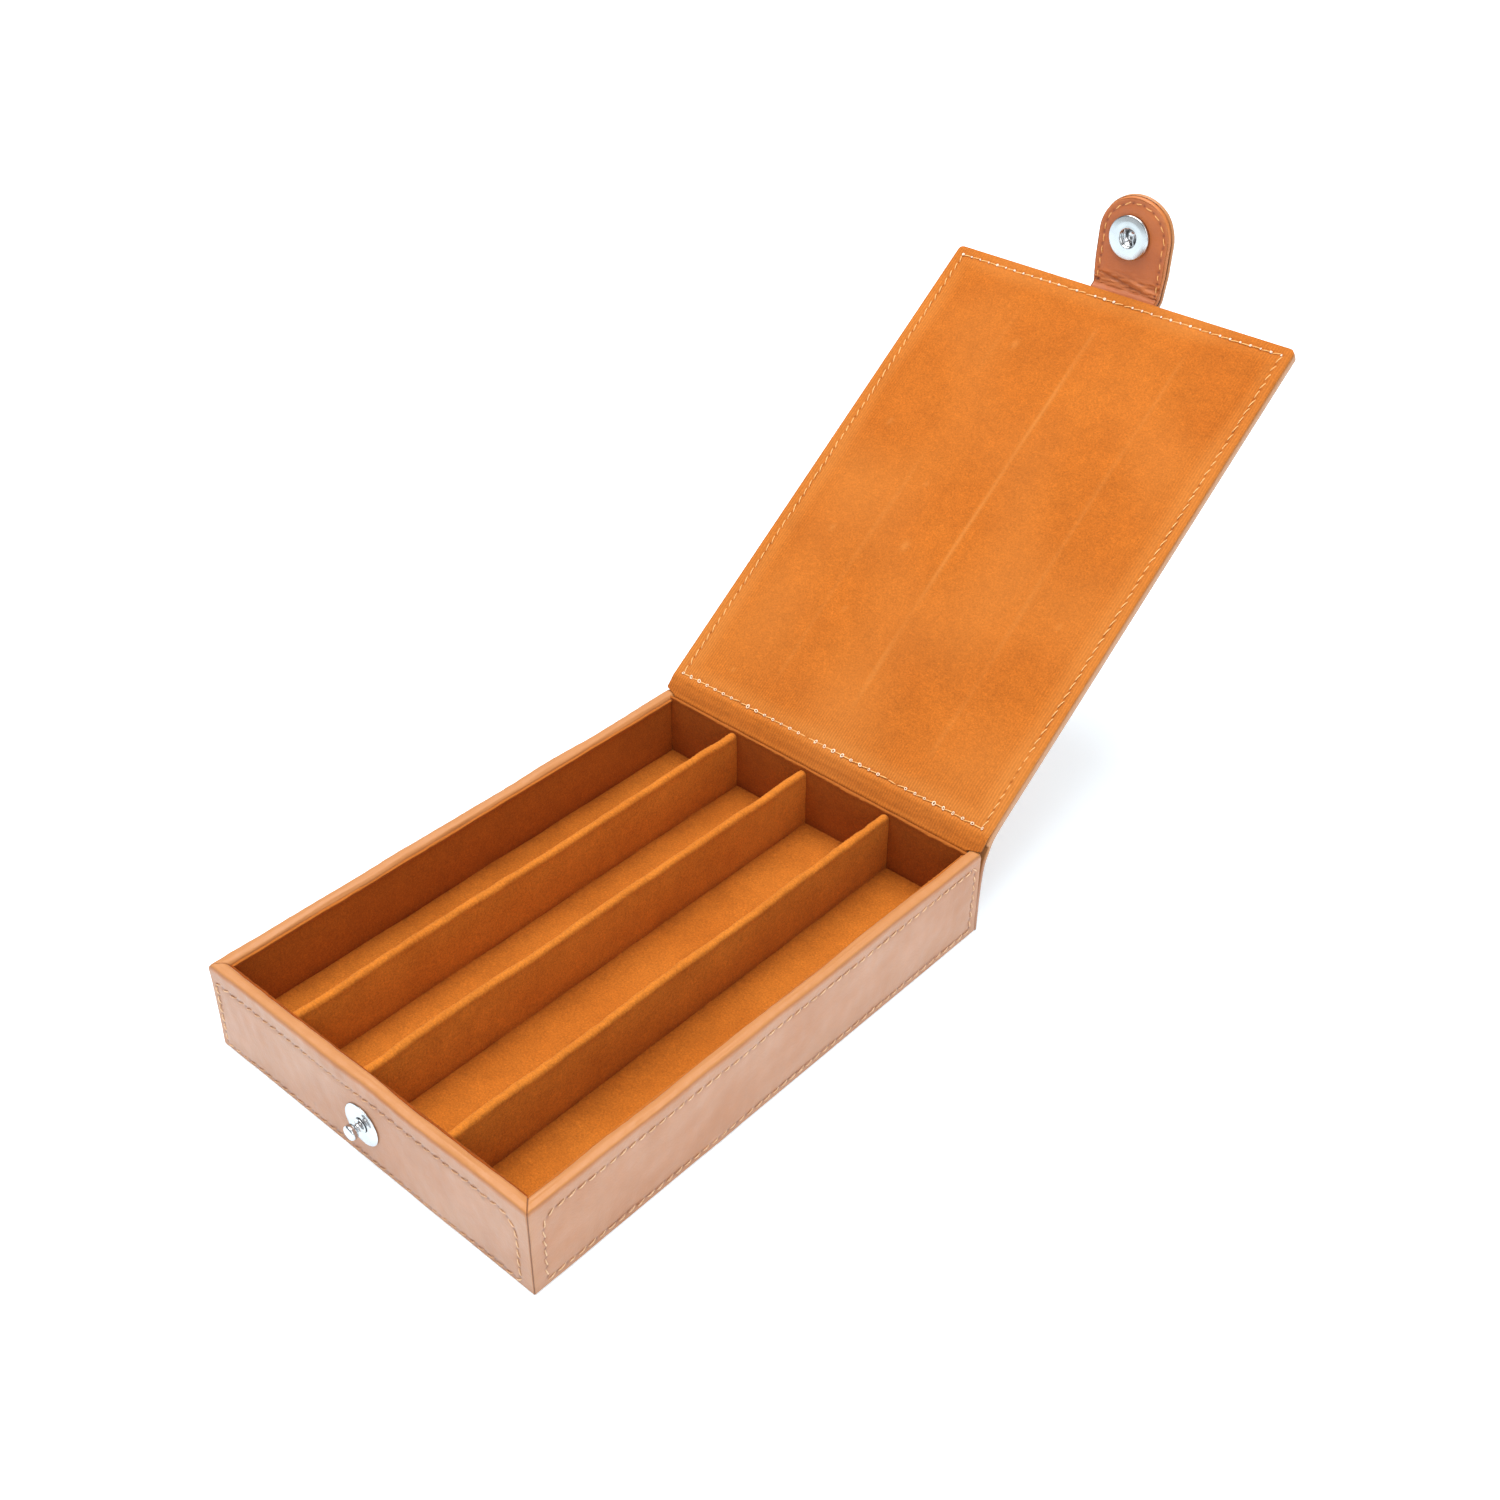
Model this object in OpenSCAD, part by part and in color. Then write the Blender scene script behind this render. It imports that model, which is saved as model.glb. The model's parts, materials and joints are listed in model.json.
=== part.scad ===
// Fountain pen case: a leather-covered tray with four suede-lined pen
// compartments, a lid on a leather hinge, and a strap with a press stud.
// Millimetres, +Z up. The origin is the centre of the tray's underside.
// +X runs across the compartments, and the hinge is at the +Y end.
// The lid is drawn standing open, with the strap folded part of the way in.

/* [Tray] */
// Outer width, across the compartments
tray_w = 110; // [100:1:124]
// Outer length, along the pens
tray_l = 156; // [148:1:170]
// Height of the rim above the table
tray_h = 26; // [25.6:0.2:32]

/* [Layers] */
// Thickness of the outer leather
leather_t = 1.2; // [1:0.1:1.4]
// Thickness of the stiff board in the walls
board_t = 1.6; // [1.4:0.1:2]
// Thickness of the suede lining
suede_t = 0.8; // [0.6:0.1:1]
// Thickness of the board under the floor
base_board_t = 2; // [1.5:0.1:2.5]
// Thickness of the soft pad under the floor lining
pad_t = 3.2; // [2:0.2:4]
// Depth of the leather turned over inside the rim
flap_h = 2.4; // [2:0.1:3.5]

/* [Dividers] */
// Centre of the left divider
divider_1_x = -27.4; // [-30:0.1:-20]
// Centre of the middle divider
divider_2_x = -2.2; // [-6:0.1:6]
// Centre of the right divider
divider_3_x = 26.1; // [20:0.1:30]
// Thickness of the board inside a divider
core_t = 1.0; // [0.8:0.1:1.4]
// Thickness of the suede wrapped over a divider
wrap_t = 0.6; // [0.4:0.1:0.8]
// Distance of the dividers' tops below the rim
divider_drop = 1.2; // [0.6:0.1:4]

/* [Lid] */
// Angle of the open lid above the horizontal
lid_rise = 36; // [0:1:100]
// Thickness of the board in the lid
lid_board_t = 1.0; // [0.8:0.1:1.2]
// Height of the closed lid's inner face above the rim
lid_gap = 0.4; // [0.3:0.05:0.5]
// Distance from the hinge axis to the lid panel
hinge_gap = 1.6; // [1.5:0.05:1.9]

/* [Strap] */
// Centre of the strap across the lid
strap_x = 1.2; // [-8:0.1:8]
// Width of the strap
strap_w = 23.2; // [20:0.2:28]
// Length of the strap past the line where it folds
strap_l = 26.2; // [25:0.1:26.3]
// Thickness of each of its two leather layers
strap_layer_t = 1.3; // [1.1:0.05:1.4]
// How far the strap is folded in from straight
strap_fold = 51; // [0:1:80]
// How much smaller the inner layer is all round
strap_inset = 0.4; // [0.2:0.1:0.8]

/* [Press stud] */
// Centre of the press stud across the case
clasp_x = -0.2; // [-3:0.1:3]
// Distance from the strap's fold line to the socket
clasp_a = 14.6; // [13.6:0.1:15.4]
// Diameter of the plate under the stud
plate_d = 11.4; // [10:0.1:12]
// Diameter of the stud's head
head_d = 3.9; // [3.6:0.05:4]
// Diameter of the socket and its cap
socket_d = 12.5; // [11.5:0.1:13]
// Diameter of the hole in the socket
socket_hole_d = 5.2; // [5.1:0.05:5.6]

/* [Hidden] */
$fn = 64;

// Colours
tan_leather = [0.82, 0.60, 0.44];
brown_leather = [0.72, 0.40, 0.22];
suede = [0.86, 0.45, 0.14];
board_grey = [0.62, 0.58, 0.52];
foam = [0.93, 0.90, 0.80];
nickel = [0.82, 0.82, 0.84];

// Walls, from outside to inside: leather, board, suede
wall = leather_t + board_t + suede_t;
half_w = tray_w / 2;
half_l = tray_l / 2;
lining_u = leather_t + board_t;
board_top = tray_h - leather_t;
wall_lining_top = tray_h - flap_h;
base_board_top = leather_t + base_board_t;
pad_top = base_board_top + pad_t;
floor_z = pad_top + suede_t;
pad_w = tray_w - 2 * lining_u;
pad_l = tray_l - 2 * lining_u;
inner_w = tray_w - 2 * wall;
inner_l = tray_l - 2 * wall;

// Back wall, where the hinge replaces the turned rim
back_leather_top = tray_h - leather_t - 0.4;
back_board_top = tray_h - suede_t;

// Dividers
divider_t = core_t + 2 * wrap_t;
divider_top = tray_h - divider_drop;

// Lid, in its own frame: the axis is the origin, +Y runs along the lid and
// +Z is the side that faces the pens
lid_t = leather_t + lid_board_t + suede_t;
lid_inner = lid_t * 0.4;
lid_outer = lid_inner - lid_t;
lid_end = tray_l;
lid_l = lid_end - hinge_gap;
axis_y = half_l;
axis_z = tray_h + lid_gap + lid_inner;

// Strap, in its own frame: the fold line is the origin, +Y runs along the
// strap and +Z is the side that faces the tray when it is fastened
strap_start = 0.3;
strap_face = -0.4;
strap_mid = strap_face - strap_layer_t;
strap_back = strap_mid - strap_layer_t;
fold_y = lid_end + 1.7;
fold_z = lid_outer - strap_back;

// Press stud, measured along its own axis from the leather that it sits on
plate_t = 0.5;
collar_h = 0.9;
neck_top = 2.4;
stud_h = 4.1;
neck_r = 1.3;
head_r = head_d / 2;
head_round = 0.5;
shank_r = 1.4;
play = 0.05;
washer_r = 3.5;
washer_t = 0.4;
stud_z = axis_z - fold_z - clasp_a;
barrel_r = 2.65;
barrel_bore_r = 2.3;
barrel_floor = 0.2;
strap_hole_r = barrel_r + play;
socket_plate_t = 0.3;
socket_shell_t = 0.5;
socket_h = 1.4;
cap_h = 1.2;
cap_rim_h = 0.4;
wire_r = 0.22;
wire_x = 1.75;
wire_half = 4.6;

// Points of an arc round c, from angle a to angle b
function arc(c, r, a, b, n = 10) =
  [for (i = [0 : n]) c + r * [cos(a + (b - a) * i / n), sin(a + (b - a) * i / n)]];

// A point of the lid's frame as [y, z] in the case's frame
function from_lid(y, z) =
  [axis_y + y * cos(lid_rise) - z * sin(lid_rise), axis_z + y * sin(lid_rise) + z * cos(lid_rise)];

module at_lid() translate([0, axis_y, axis_z]) rotate([lid_rise, 0, 0]) children();

module at_strap() at_lid() translate([0, fold_y, fold_z]) rotate([strap_fold, 0, 0]) children();

// A box centred on X and Y, from z0 to z1
module slab(w, l, z0, z1) translate([-w / 2, -l / 2, z0]) cube([w, l, z1 - z0]);

// Runs a profile drawn as [y, z] along X for w, centred on x
module run_x(w, x = 0) translate([x - w / 2, 0, 0]) rotate([90, 0, 90]) linear_extrude(w) children();

// Puts a wall drawn along X, with its outer face at y = 0 and its inside
// towards +Y, on one side of the tray
module on_front() translate([0, -half_l, 0]) children();
module on_back() translate([0, half_l, 0]) rotate([0, 0, 180]) children();
module on_left() translate([-half_w, 0, 0]) rotate([0, 0, -90]) children();
module on_right() translate([half_w, 0, 0]) rotate([0, 0, 90]) children();

// A strip with a round top edge, t thick and h high
module round_top_strip(t, h) {
  square([t, h - t / 2]);
  translate([t / 2, h - t / 2]) circle(t / 2);
}

// Leather up the outside of a wall, over its top and down inside it
module rim_profile() difference() {
  round_top_strip(wall, tray_h);
  translate([leather_t, -1]) round_top_strip(board_t, board_top + 1);
  translate([lining_u, -1]) square([suede_t + 1, wall_lining_top + 1]);
}

// A rim wall with mitred front corners, cut between the lines from outer to
// inner points: a is its end towards -X and b its end towards +X
module rim_wall(length, a, b) intersection() {
  run_x(length) rim_profile();
  translate([0, 0, -1]) linear_extrude(tray_h + 2) polygon([
    [-length / 2 + a[0], 0], [length / 2 - b[0], 0],
    [length / 2 - b[1], wall], [-length / 2 + a[1], wall]
  ]);
}
mitre = [0, wall];
square_end = [leather_t, leather_t];

module wall_board(length, x = 0) run_x(length, x)
  translate([leather_t, base_board_top]) round_top_strip(board_t, board_top - base_board_top);

// A side wall's board: end is 1 where the back wall is towards +X, or -1
module side_wall_board(end)
  wall_board(tray_l - leather_t - lining_u, end * (lining_u - leather_t) / 2);

module wall_lining(length, top) run_x(length)
  translate([lining_u, floor_z]) square([suede_t, top - floor_z]);

// Where the stud stands on the front wall: local +Z points out of the wall
module at_stud() translate([clasp_x, -half_l, stud_z]) rotate([90, 0, 0]) children();

// Hole for the stud's shank
module stud_bore() at_stud() cylinder(r = shank_r + play, h = 2 * wall, center = true);

// Tray: outer leather
module base_leather() color(tan_leather)
  slab(tray_w - 2 * leather_t, tray_l - 2 * leather_t, 0, leather_t);

module front_leather() color(tan_leather) difference() {
  on_front() rim_wall(tray_w, mitre, mitre);
  stud_bore();
}

module back_leather() color(tan_leather)
  translate([-half_w, half_l - leather_t, 0]) cube([tray_w, leather_t, back_leather_top]);

module left_leather() color(tan_leather) on_left() rim_wall(tray_l, square_end, mitre);

module right_leather() color(tan_leather) on_right() rim_wall(tray_l, mitre, square_end);

// Tray: boards
module base_board() color(board_grey)
  slab(tray_w - 2 * leather_t, tray_l - 2 * leather_t, leather_t, base_board_top);

module front_board() color(board_grey) difference() {
  on_front() wall_board(pad_w);
  stud_bore();
  at_stud() translate([0, 0, -lining_u - washer_t])
    cylinder(r = washer_r + play, h = 2 * washer_t);
}

module back_board() color(board_grey)
  translate([-inner_w / 2, half_l - lining_u, base_board_top])
    cube([inner_w, board_t, back_board_top - base_board_top]);

module left_board() color(board_grey) on_left() side_wall_board(-1);

module right_board() color(board_grey) on_right() side_wall_board(1);

// Tray: pad and suede lining
module floor_pad() color(foam) slab(pad_w, pad_l, base_board_top, pad_top);

module floor_lining() color(suede) slab(pad_w, pad_l, pad_top, floor_z);

module front_lining() color(suede) on_front() wall_lining(pad_w, wall_lining_top);

module back_lining() color(suede) on_back() wall_lining(inner_w, tray_h);

module left_lining() color(suede) on_left() wall_lining(inner_l, wall_lining_top);

module right_lining() color(suede) on_right() wall_lining(inner_l, wall_lining_top);

// Dividers
module divider_strip(x, t, top) translate([x, 0, 0]) rotate([0, 0, 90]) run_x(inner_l)
  translate([-t / 2, floor_z]) round_top_strip(t, top - floor_z);

module divider_core(x) color(board_grey) divider_strip(x, core_t, divider_top - wrap_t);

module divider_suede(x) color(suede) difference() {
  divider_strip(x, divider_t, divider_top);
  divider_strip(x, core_t, divider_top - wrap_t);
}

module divider_core_1() divider_core(divider_1_x);
module divider_core_2() divider_core(divider_2_x);
module divider_core_3() divider_core(divider_3_x);
module divider_suede_1() divider_suede(divider_1_x);
module divider_suede_2() divider_suede(divider_2_x);
module divider_suede_3() divider_suede(divider_3_x);

// Press stud on the front wall
module stud_plate() color(nickel) difference() {
  at_stud() cylinder(d = plate_d, h = plate_t);
  stud_bore();
}

module stud_post() color(nickel) at_stud() {
  translate([0, 0, -lining_u + washer_t]) cylinder(r = shank_r, h = lining_u - washer_t + plate_t);
  rotate_extrude() {
    translate([0, plate_t]) square([head_r, collar_h - plate_t]);
    translate([0, plate_t]) square([neck_r, stud_h - plate_t]);
    translate([0, neck_top + head_round]) square([head_r, stud_h - neck_top - 2 * head_round]);
    translate([0, neck_top]) square([head_r - head_round, stud_h - neck_top]);
    for (z = [neck_top + head_round, stud_h - head_round])
      translate([head_r - head_round, z]) circle(head_round);
  }
}

module stud_washer() color(nickel) at_stud()
  translate([0, 0, -lining_u]) cylinder(r = washer_r, h = washer_t);

// Hinge: the outer leather's bend, from the back wall round to the lid
module hinge_leather() color(tan_leather) {
  bend_r = 1;
  turn = 90 - lid_rise;
  outer = from_lid(hinge_gap, lid_outer);
  inner = from_lid(hinge_gap, lid_outer + leather_t);
  // Where the lid's outer face would cross the back wall's outer face
  cross_z = outer[1] - (outer[0] - half_l) * tan(lid_rise);
  c = [half_l + bend_r, cross_z - bend_r * tan(turn / 2)];
  run_x(tray_w) polygon(concat(
    [[half_l - leather_t, back_leather_top], [half_l, back_leather_top]],
    arc(c, bend_r, 180, 180 - turn),
    [outer, inner],
    arc(c, bend_r + leather_t, 180 - turn, 180)
  ));
}

// Hinge: the suede strip over the back wall's top
module hinge_lining() color(suede) run_x(tray_w - 2 * wall) polygon([
  [half_l - lining_u + 0.1, back_board_top],
  [half_l - lining_u + 0.8, back_board_top],
  from_lid(hinge_gap, lid_inner - suede_t),
  from_lid(hinge_gap, lid_inner),
  [half_l - lining_u + 0.1, tray_h + 0.2]
]);

// Lid
module lid_leather() color(tan_leather) at_lid() difference() {
  translate([-half_w, hinge_gap, lid_outer]) cube([tray_w, lid_l, lid_t - suede_t]);
  translate([-half_w + leather_t, hinge_gap - 1, lid_outer + leather_t])
    cube([tray_w - 2 * leather_t, lid_l + 1 - leather_t, lid_t]);
}

module lid_board() color(board_grey) at_lid()
  translate([-half_w + leather_t, hinge_gap, lid_outer + leather_t])
    cube([tray_w - 2 * leather_t, lid_l - leather_t, lid_board_t]);

module lid_lining() color(suede) at_lid()
  translate([-half_w, hinge_gap, lid_inner - suede_t]) cube([tray_w, lid_l, suede_t]);

// Strap: the bend at its root, then its two layers with a round end
module strap_root() color(brown_leather) at_lid() {
  c = [fold_y, fold_z];
  along = [cos(strap_fold), sin(strap_fold)] * strap_start;
  out_arc = arc(c, -strap_back, -90, strap_fold - 90);
  in_arc = arc(c, -strap_face, strap_fold - 90, -90);
  run_x(strap_w, strap_x) polygon(concat(
    [[lid_end, lid_outer]], out_arc,
    [out_arc[10] + along, in_arc[0] + along],
    in_arc, [[lid_end, fold_z + strap_face]]
  ));
}

module strap_layer(z, inset) difference() {
  translate([strap_x, 0, z]) linear_extrude(strap_layer_t) {
    translate([-strap_w / 2 + inset, strap_start])
      square([strap_w - 2 * inset, strap_l - strap_w / 2 - strap_start]);
    translate([0, strap_l - strap_w / 2]) circle(strap_w / 2 - inset);
  }
  translate([clasp_x, clasp_a, z - 1]) cylinder(r = strap_hole_r, h = strap_layer_t + 2);
}

module strap_outer() color(tan_leather) at_strap() strap_layer(strap_back, 0);

module strap_inner() color(brown_leather) at_strap() strap_layer(strap_mid, strap_inset);

// Press-stud socket on the strap: local +Z points out of the strap's inner face
module at_socket() at_strap() translate([clasp_x, clasp_a, strap_face]) children();

// Domed cap outside the strap, with the hollow barrel that holds the socket
module snap_cap() color(nickel) at_socket() translate([0, 0, -2 * strap_layer_t]) rotate_extrude() {
  edge = socket_d / 2;
  dome_h = cap_h - cap_rim_h;
  dome_r = (pow(edge, 2) + pow(dome_h, 2)) / (2 * dome_h);
  intersection() {
    translate([0, dome_r - cap_h]) circle(dome_r, $fn = 720);
    translate([0, -cap_h]) square([edge, cap_h]);
  }
  square([barrel_r, barrel_floor]);
  translate([barrel_bore_r, 0])
    square([barrel_r - barrel_bore_r, 2 * strap_layer_t + socket_plate_t]);
}

module snap_socket() color(nickel) at_socket() rotate_extrude() {
  edge = socket_d / 2;
  hole = socket_hole_d / 2;
  lip = 0.3;
  translate([strap_hole_r, 0]) square([edge - strap_hole_r, socket_plate_t]);
  translate([edge - socket_shell_t, 0]) square([socket_shell_t, socket_h - socket_shell_t]);
  translate([hole + lip, socket_h - socket_shell_t])
    square([edge - hole - lip - socket_shell_t, socket_shell_t]);
  translate([edge - socket_shell_t, socket_h - socket_shell_t]) circle(socket_shell_t);
  translate([hole + lip, socket_h - lip]) circle(lip);
}

module snap_spring() color(nickel) at_socket()
  for (side = [-1, 1])
    translate([side * wire_x, 0, socket_plate_t + wire_r + 0.03]) rotate([90, 0, 0])
      cylinder(r = wire_r, h = 2 * wire_half, center = true);

base_leather();
front_leather();
back_leather();
left_leather();
right_leather();
base_board();
front_board();
back_board();
left_board();
right_board();
floor_pad();
floor_lining();
front_lining();
back_lining();
left_lining();
right_lining();
divider_core_1();
divider_core_2();
divider_core_3();
divider_suede_1();
divider_suede_2();
divider_suede_3();
stud_plate();
stud_post();
stud_washer();
hinge_leather();
hinge_lining();
lid_leather();
lid_board();
lid_lining();
strap_root();
strap_outer();
strap_inner();
snap_cap();
snap_socket();
snap_spring();
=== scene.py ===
"""Fountain pen case: leather, suede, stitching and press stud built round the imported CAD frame.

Shapes are worked out in millimetres and written to the meshes in metres. Every soft part is a sheet: a
closed grid with rounded edges, drawn flat in (x, u, z) and then laid along a path, so that threads and
grooves placed in the same flat coordinates always lie on it.
"""
import json
import math

import bmesh
import bpy
import numpy as np
from mathutils import Matrix, Vector


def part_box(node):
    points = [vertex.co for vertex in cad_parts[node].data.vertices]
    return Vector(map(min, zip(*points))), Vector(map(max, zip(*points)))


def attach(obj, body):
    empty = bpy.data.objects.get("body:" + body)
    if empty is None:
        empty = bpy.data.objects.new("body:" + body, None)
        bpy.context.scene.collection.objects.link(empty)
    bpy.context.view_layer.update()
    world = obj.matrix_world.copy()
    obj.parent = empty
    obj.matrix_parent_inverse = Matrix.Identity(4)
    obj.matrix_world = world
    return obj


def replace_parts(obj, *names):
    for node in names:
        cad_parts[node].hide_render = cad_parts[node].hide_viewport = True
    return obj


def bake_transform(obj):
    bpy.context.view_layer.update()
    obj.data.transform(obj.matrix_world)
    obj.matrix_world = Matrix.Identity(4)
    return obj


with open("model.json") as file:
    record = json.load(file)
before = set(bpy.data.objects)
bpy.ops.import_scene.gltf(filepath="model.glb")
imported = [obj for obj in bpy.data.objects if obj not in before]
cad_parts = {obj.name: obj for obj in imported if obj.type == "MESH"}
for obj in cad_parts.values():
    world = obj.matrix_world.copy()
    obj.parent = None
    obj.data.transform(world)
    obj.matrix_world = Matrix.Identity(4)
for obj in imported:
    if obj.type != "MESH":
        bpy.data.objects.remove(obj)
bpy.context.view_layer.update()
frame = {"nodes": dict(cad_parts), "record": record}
MM = 0.001


# ---- sizes from the frame, in millimetres
def box_mm(node):
    low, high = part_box(node)
    return np.array(low) / MM, np.array(high) / MM


def joint_mm(name):
    joint = next(j for j in frame["record"]["behaviour"]["joints"] if j["name"] == name)
    return np.array(joint["pos_m"]) / MM


front_low, front_high = box_mm("front_leather")
HALF_W = front_high[0]
HALF_L = -front_low[1]
TRAY_H = front_high[2]
WALL = front_high[1] - front_low[1]
LEATHER_T = box_mm("base_leather")[1][2]
floor_low, floor_high = box_mm("floor_lining")
SUEDE_T = floor_high[2] - floor_low[2]
FLOOR_Z = floor_high[2]
LINING_TOP = box_mm("left_lining")[1][2]
BACK_LEATHER_TOP = box_mm("back_leather")[1][2]
INNER_W = HALF_W - WALL
INNER_L = HALF_L - WALL
DIVIDERS = [tuple(b[0] for b in box_mm(f"divider_suede_{i}")) for i in (1, 2, 3)]
DIVIDER_TOP = box_mm("divider_suede_1")[1][2]

# The lid's own frame: d runs along it from the hinge axis, n points out of its inner face
HINGE = joint_mm("lid_hinge")[1:]
FOLD = joint_mm("strap_fold")[1:]
LID_INNER = 1.2
LID_T = 3.0
LID_OUTER = LID_INNER - LID_T
LID_START = 1.6
LID_END = 2 * HALF_L
FOLD_N = 1.2
FOLD_D = math.sqrt(float(np.sum((FOLD - HINGE) ** 2)) - FOLD_N**2)
LID_RISE = math.atan2(*(FOLD - HINGE)[::-1]) - math.atan2(FOLD_N, FOLD_D)

# The strap's own frame: a runs along it from the fold line, b points out of its inner face
STRAP_LOW, STRAP_HIGH = box_mm("strap_outer")
STRAP_X = (STRAP_LOW[0] + STRAP_HIGH[0]) / 2
STRAP_R = (STRAP_HIGH[0] - STRAP_LOW[0]) / 2
STRAP_L = 26.2
STRAP_FOLD = math.radians(51)
STRAP_LAYER = 1.3
STRAP_MID_B = -1.7
STRAP_INSET = 0.4
CLASP_A = 14.6
stud_low, stud_high = box_mm("stud_plate")
CLASP_X = (stud_low[0] + stud_high[0]) / 2
STUD_Z = (stud_low[2] + stud_high[2]) / 2
PLATE_R = (stud_high[0] - stud_low[0]) / 2


# ---- materials
def fill_ramp(ramp, stops):
    """Sets a colour ramp from stops of (position, grey or colour)."""
    while len(ramp.elements) < len(stops):
        ramp.elements.new(0.5)
    for element, (position, tone) in zip(ramp.elements, stops):
        element.position = position
        element.color = (*tone, 1) if isinstance(tone, tuple) else (tone, tone, tone, 1)


class Nodes:
    """Builds one node material with short calls. A source is a (node, output) pair."""

    def __init__(self, name):
        self.material = bpy.data.materials.new(name)
        self.material.use_nodes = True
        self.tree = self.material.node_tree
        self.tree.nodes.clear()
        self.shader = self.add("ShaderNodeBsdfPrincipled")
        output = self.add("ShaderNodeOutputMaterial")
        self.link((self.shader, "BSDF"), output, "Surface")
        self.place = self.add("ShaderNodeTexCoord")

    def add(self, kind, values=None, **settings):
        node = self.tree.nodes.new(kind)
        for key, value in settings.items():
            setattr(node, key, value)
        for socket, value in (values or {}).items():
            node.inputs[socket].default_value = value
        return node

    def link(self, source, target, socket):
        self.tree.links.new(source[0].outputs[source[1]], target.inputs[socket])

    def texture(self, kind, values, stretch=None, **settings):
        """A texture in the object's own coordinates, which stretch multiplies."""
        node = self.add(kind, values, **settings)
        place = (self.place, "Object")
        if stretch:
            mapping = self.add("ShaderNodeMapping", {"Scale": stretch})
            self.link(place, mapping, "Vector")
            place = (mapping, "Vector")
        self.link(place, node, "Vector")
        return node

    def noise(self, size_mm, detail=3.0, rough=0.55, stretch=None):
        """Noise whose blobs are about size_mm across."""
        values = {"Scale": 1 / (size_mm * MM), "Detail": detail, "Roughness": rough}
        return self.texture("ShaderNodeTexNoise", values, stretch), "Fac"

    def cells(self, size_mm):
        return self.texture("ShaderNodeTexVoronoi", {"Scale": 1 / (size_mm * MM)}), "Distance"

    def attribute(self, name):
        return self.add("ShaderNodeAttribute", attribute_name=name), "Fac"

    def ramp(self, source, *stops):
        node = self.add("ShaderNodeValToRGB")
        fill_ramp(node.color_ramp, stops)
        self.link(source, node, "Fac")
        return node, "Color"

    def mix(self, factor, a, b, blend="MIX"):
        """Mixes two colours. factor, a and b are plain values or sources."""
        node = self.add("ShaderNodeMix", data_type="RGBA", blend_type=blend)
        for socket, value in ((0, factor), (6, a), (7, b)):
            if isinstance(value, tuple) and hasattr(value[0], "outputs"):
                self.link(value, node, socket)
            else:
                node.inputs[socket].default_value = (*value, 1) if socket else value
        return node, 2

    def between(self, source, low, high, a, b):
        """Goes from colour a to colour b as the source goes from low to high."""
        return self.mix(self.ramp(source, (low, 0), (high, 1)), a, b)

    def tint(self, strength, colour, source, *stops):
        """Multiplies a colour by a ramp over the source."""
        return self.mix(strength, colour, self.ramp(source, *stops), "MULTIPLY")

    def shaded(self, colour, tone):
        """Darkens a colour to the tone where the mesh's seam attribute is 1: painted shade, and some dark
        lines.
        """
        return self.mix(1.0, colour, self.mix(self.attribute("seam"), (1, 1, 1), tone), "MULTIPLY")

    def bump(self, *layers):
        """Bumps stacked from (source, height in mm)."""
        normal = None
        for source, height in layers:
            node = self.add("ShaderNodeBump", {"Strength": 1.0, "Distance": height * MM})
            self.link(source, node, "Height")
            if normal:
                self.link(normal, node, "Normal")
            normal = (node, "Normal")
        self.link(normal, self.shader, "Normal")

    def done(self, colour, roughness=None, **constants):
        """Sets the shader's colour, its roughness where that varies, and its constants."""
        self.link(colour, self.shader, "Base Color")
        if roughness:
            self.link(roughness, self.shader, "Roughness")
        for key, value in constants.items():
            self.shader.inputs[key.replace("_", " ")].default_value = value
        return self.material


def leather(name, light, dark, worn, sheen=0.18, coat=0.12):
    """Smooth leather: cloudy colour, pores, faint creases, dark marks, and wear where the mesh says so."""
    m = Nodes(name)
    fine = m.noise(2.2, detail=4, rough=0.7)
    colour = m.between(m.noise(22, detail=4), 0.34, 0.64, light, dark)
    colour = m.tint(0.7, colour, m.noise(9, detail=4, rough=0.6),
                    (0.3, (1.06, 1.08, 1.14)), (0.7, (0.93, 0.89, 0.78)))
    colour = m.tint(0.55, colour, fine, (0.3, 0.9), (0.7, 1.06))
    colour = m.tint(0.45, colour, m.cells(17), (0.015, 0.5), (0.055, 1.0))
    colour = m.mix(m.attribute("worn"), colour, worn)
    m.bump((m.noise(1.3, detail=3, rough=0.6), 0.08), (m.cells(0.55), 0.035))
    # The seam attribute darkens to this brown: painted shade in holes, grooves, gaps and creases, and the
    # rim's dark edge line
    return m.done(m.shaded(colour, (0.36, 0.22, 0.14)), m.ramp(fine, (0.25, 0.46), (0.75, 0.62)),
                  Coat_Weight=coat, Coat_Roughness=0.32, Sheen_Weight=sheen, Sheen_Roughness=0.45,
                  Sheen_Tint=(0.88, 0.94, 1.0, 1), Specular_IOR_Level=0.55)


RIB_PITCH = 0.8


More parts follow.
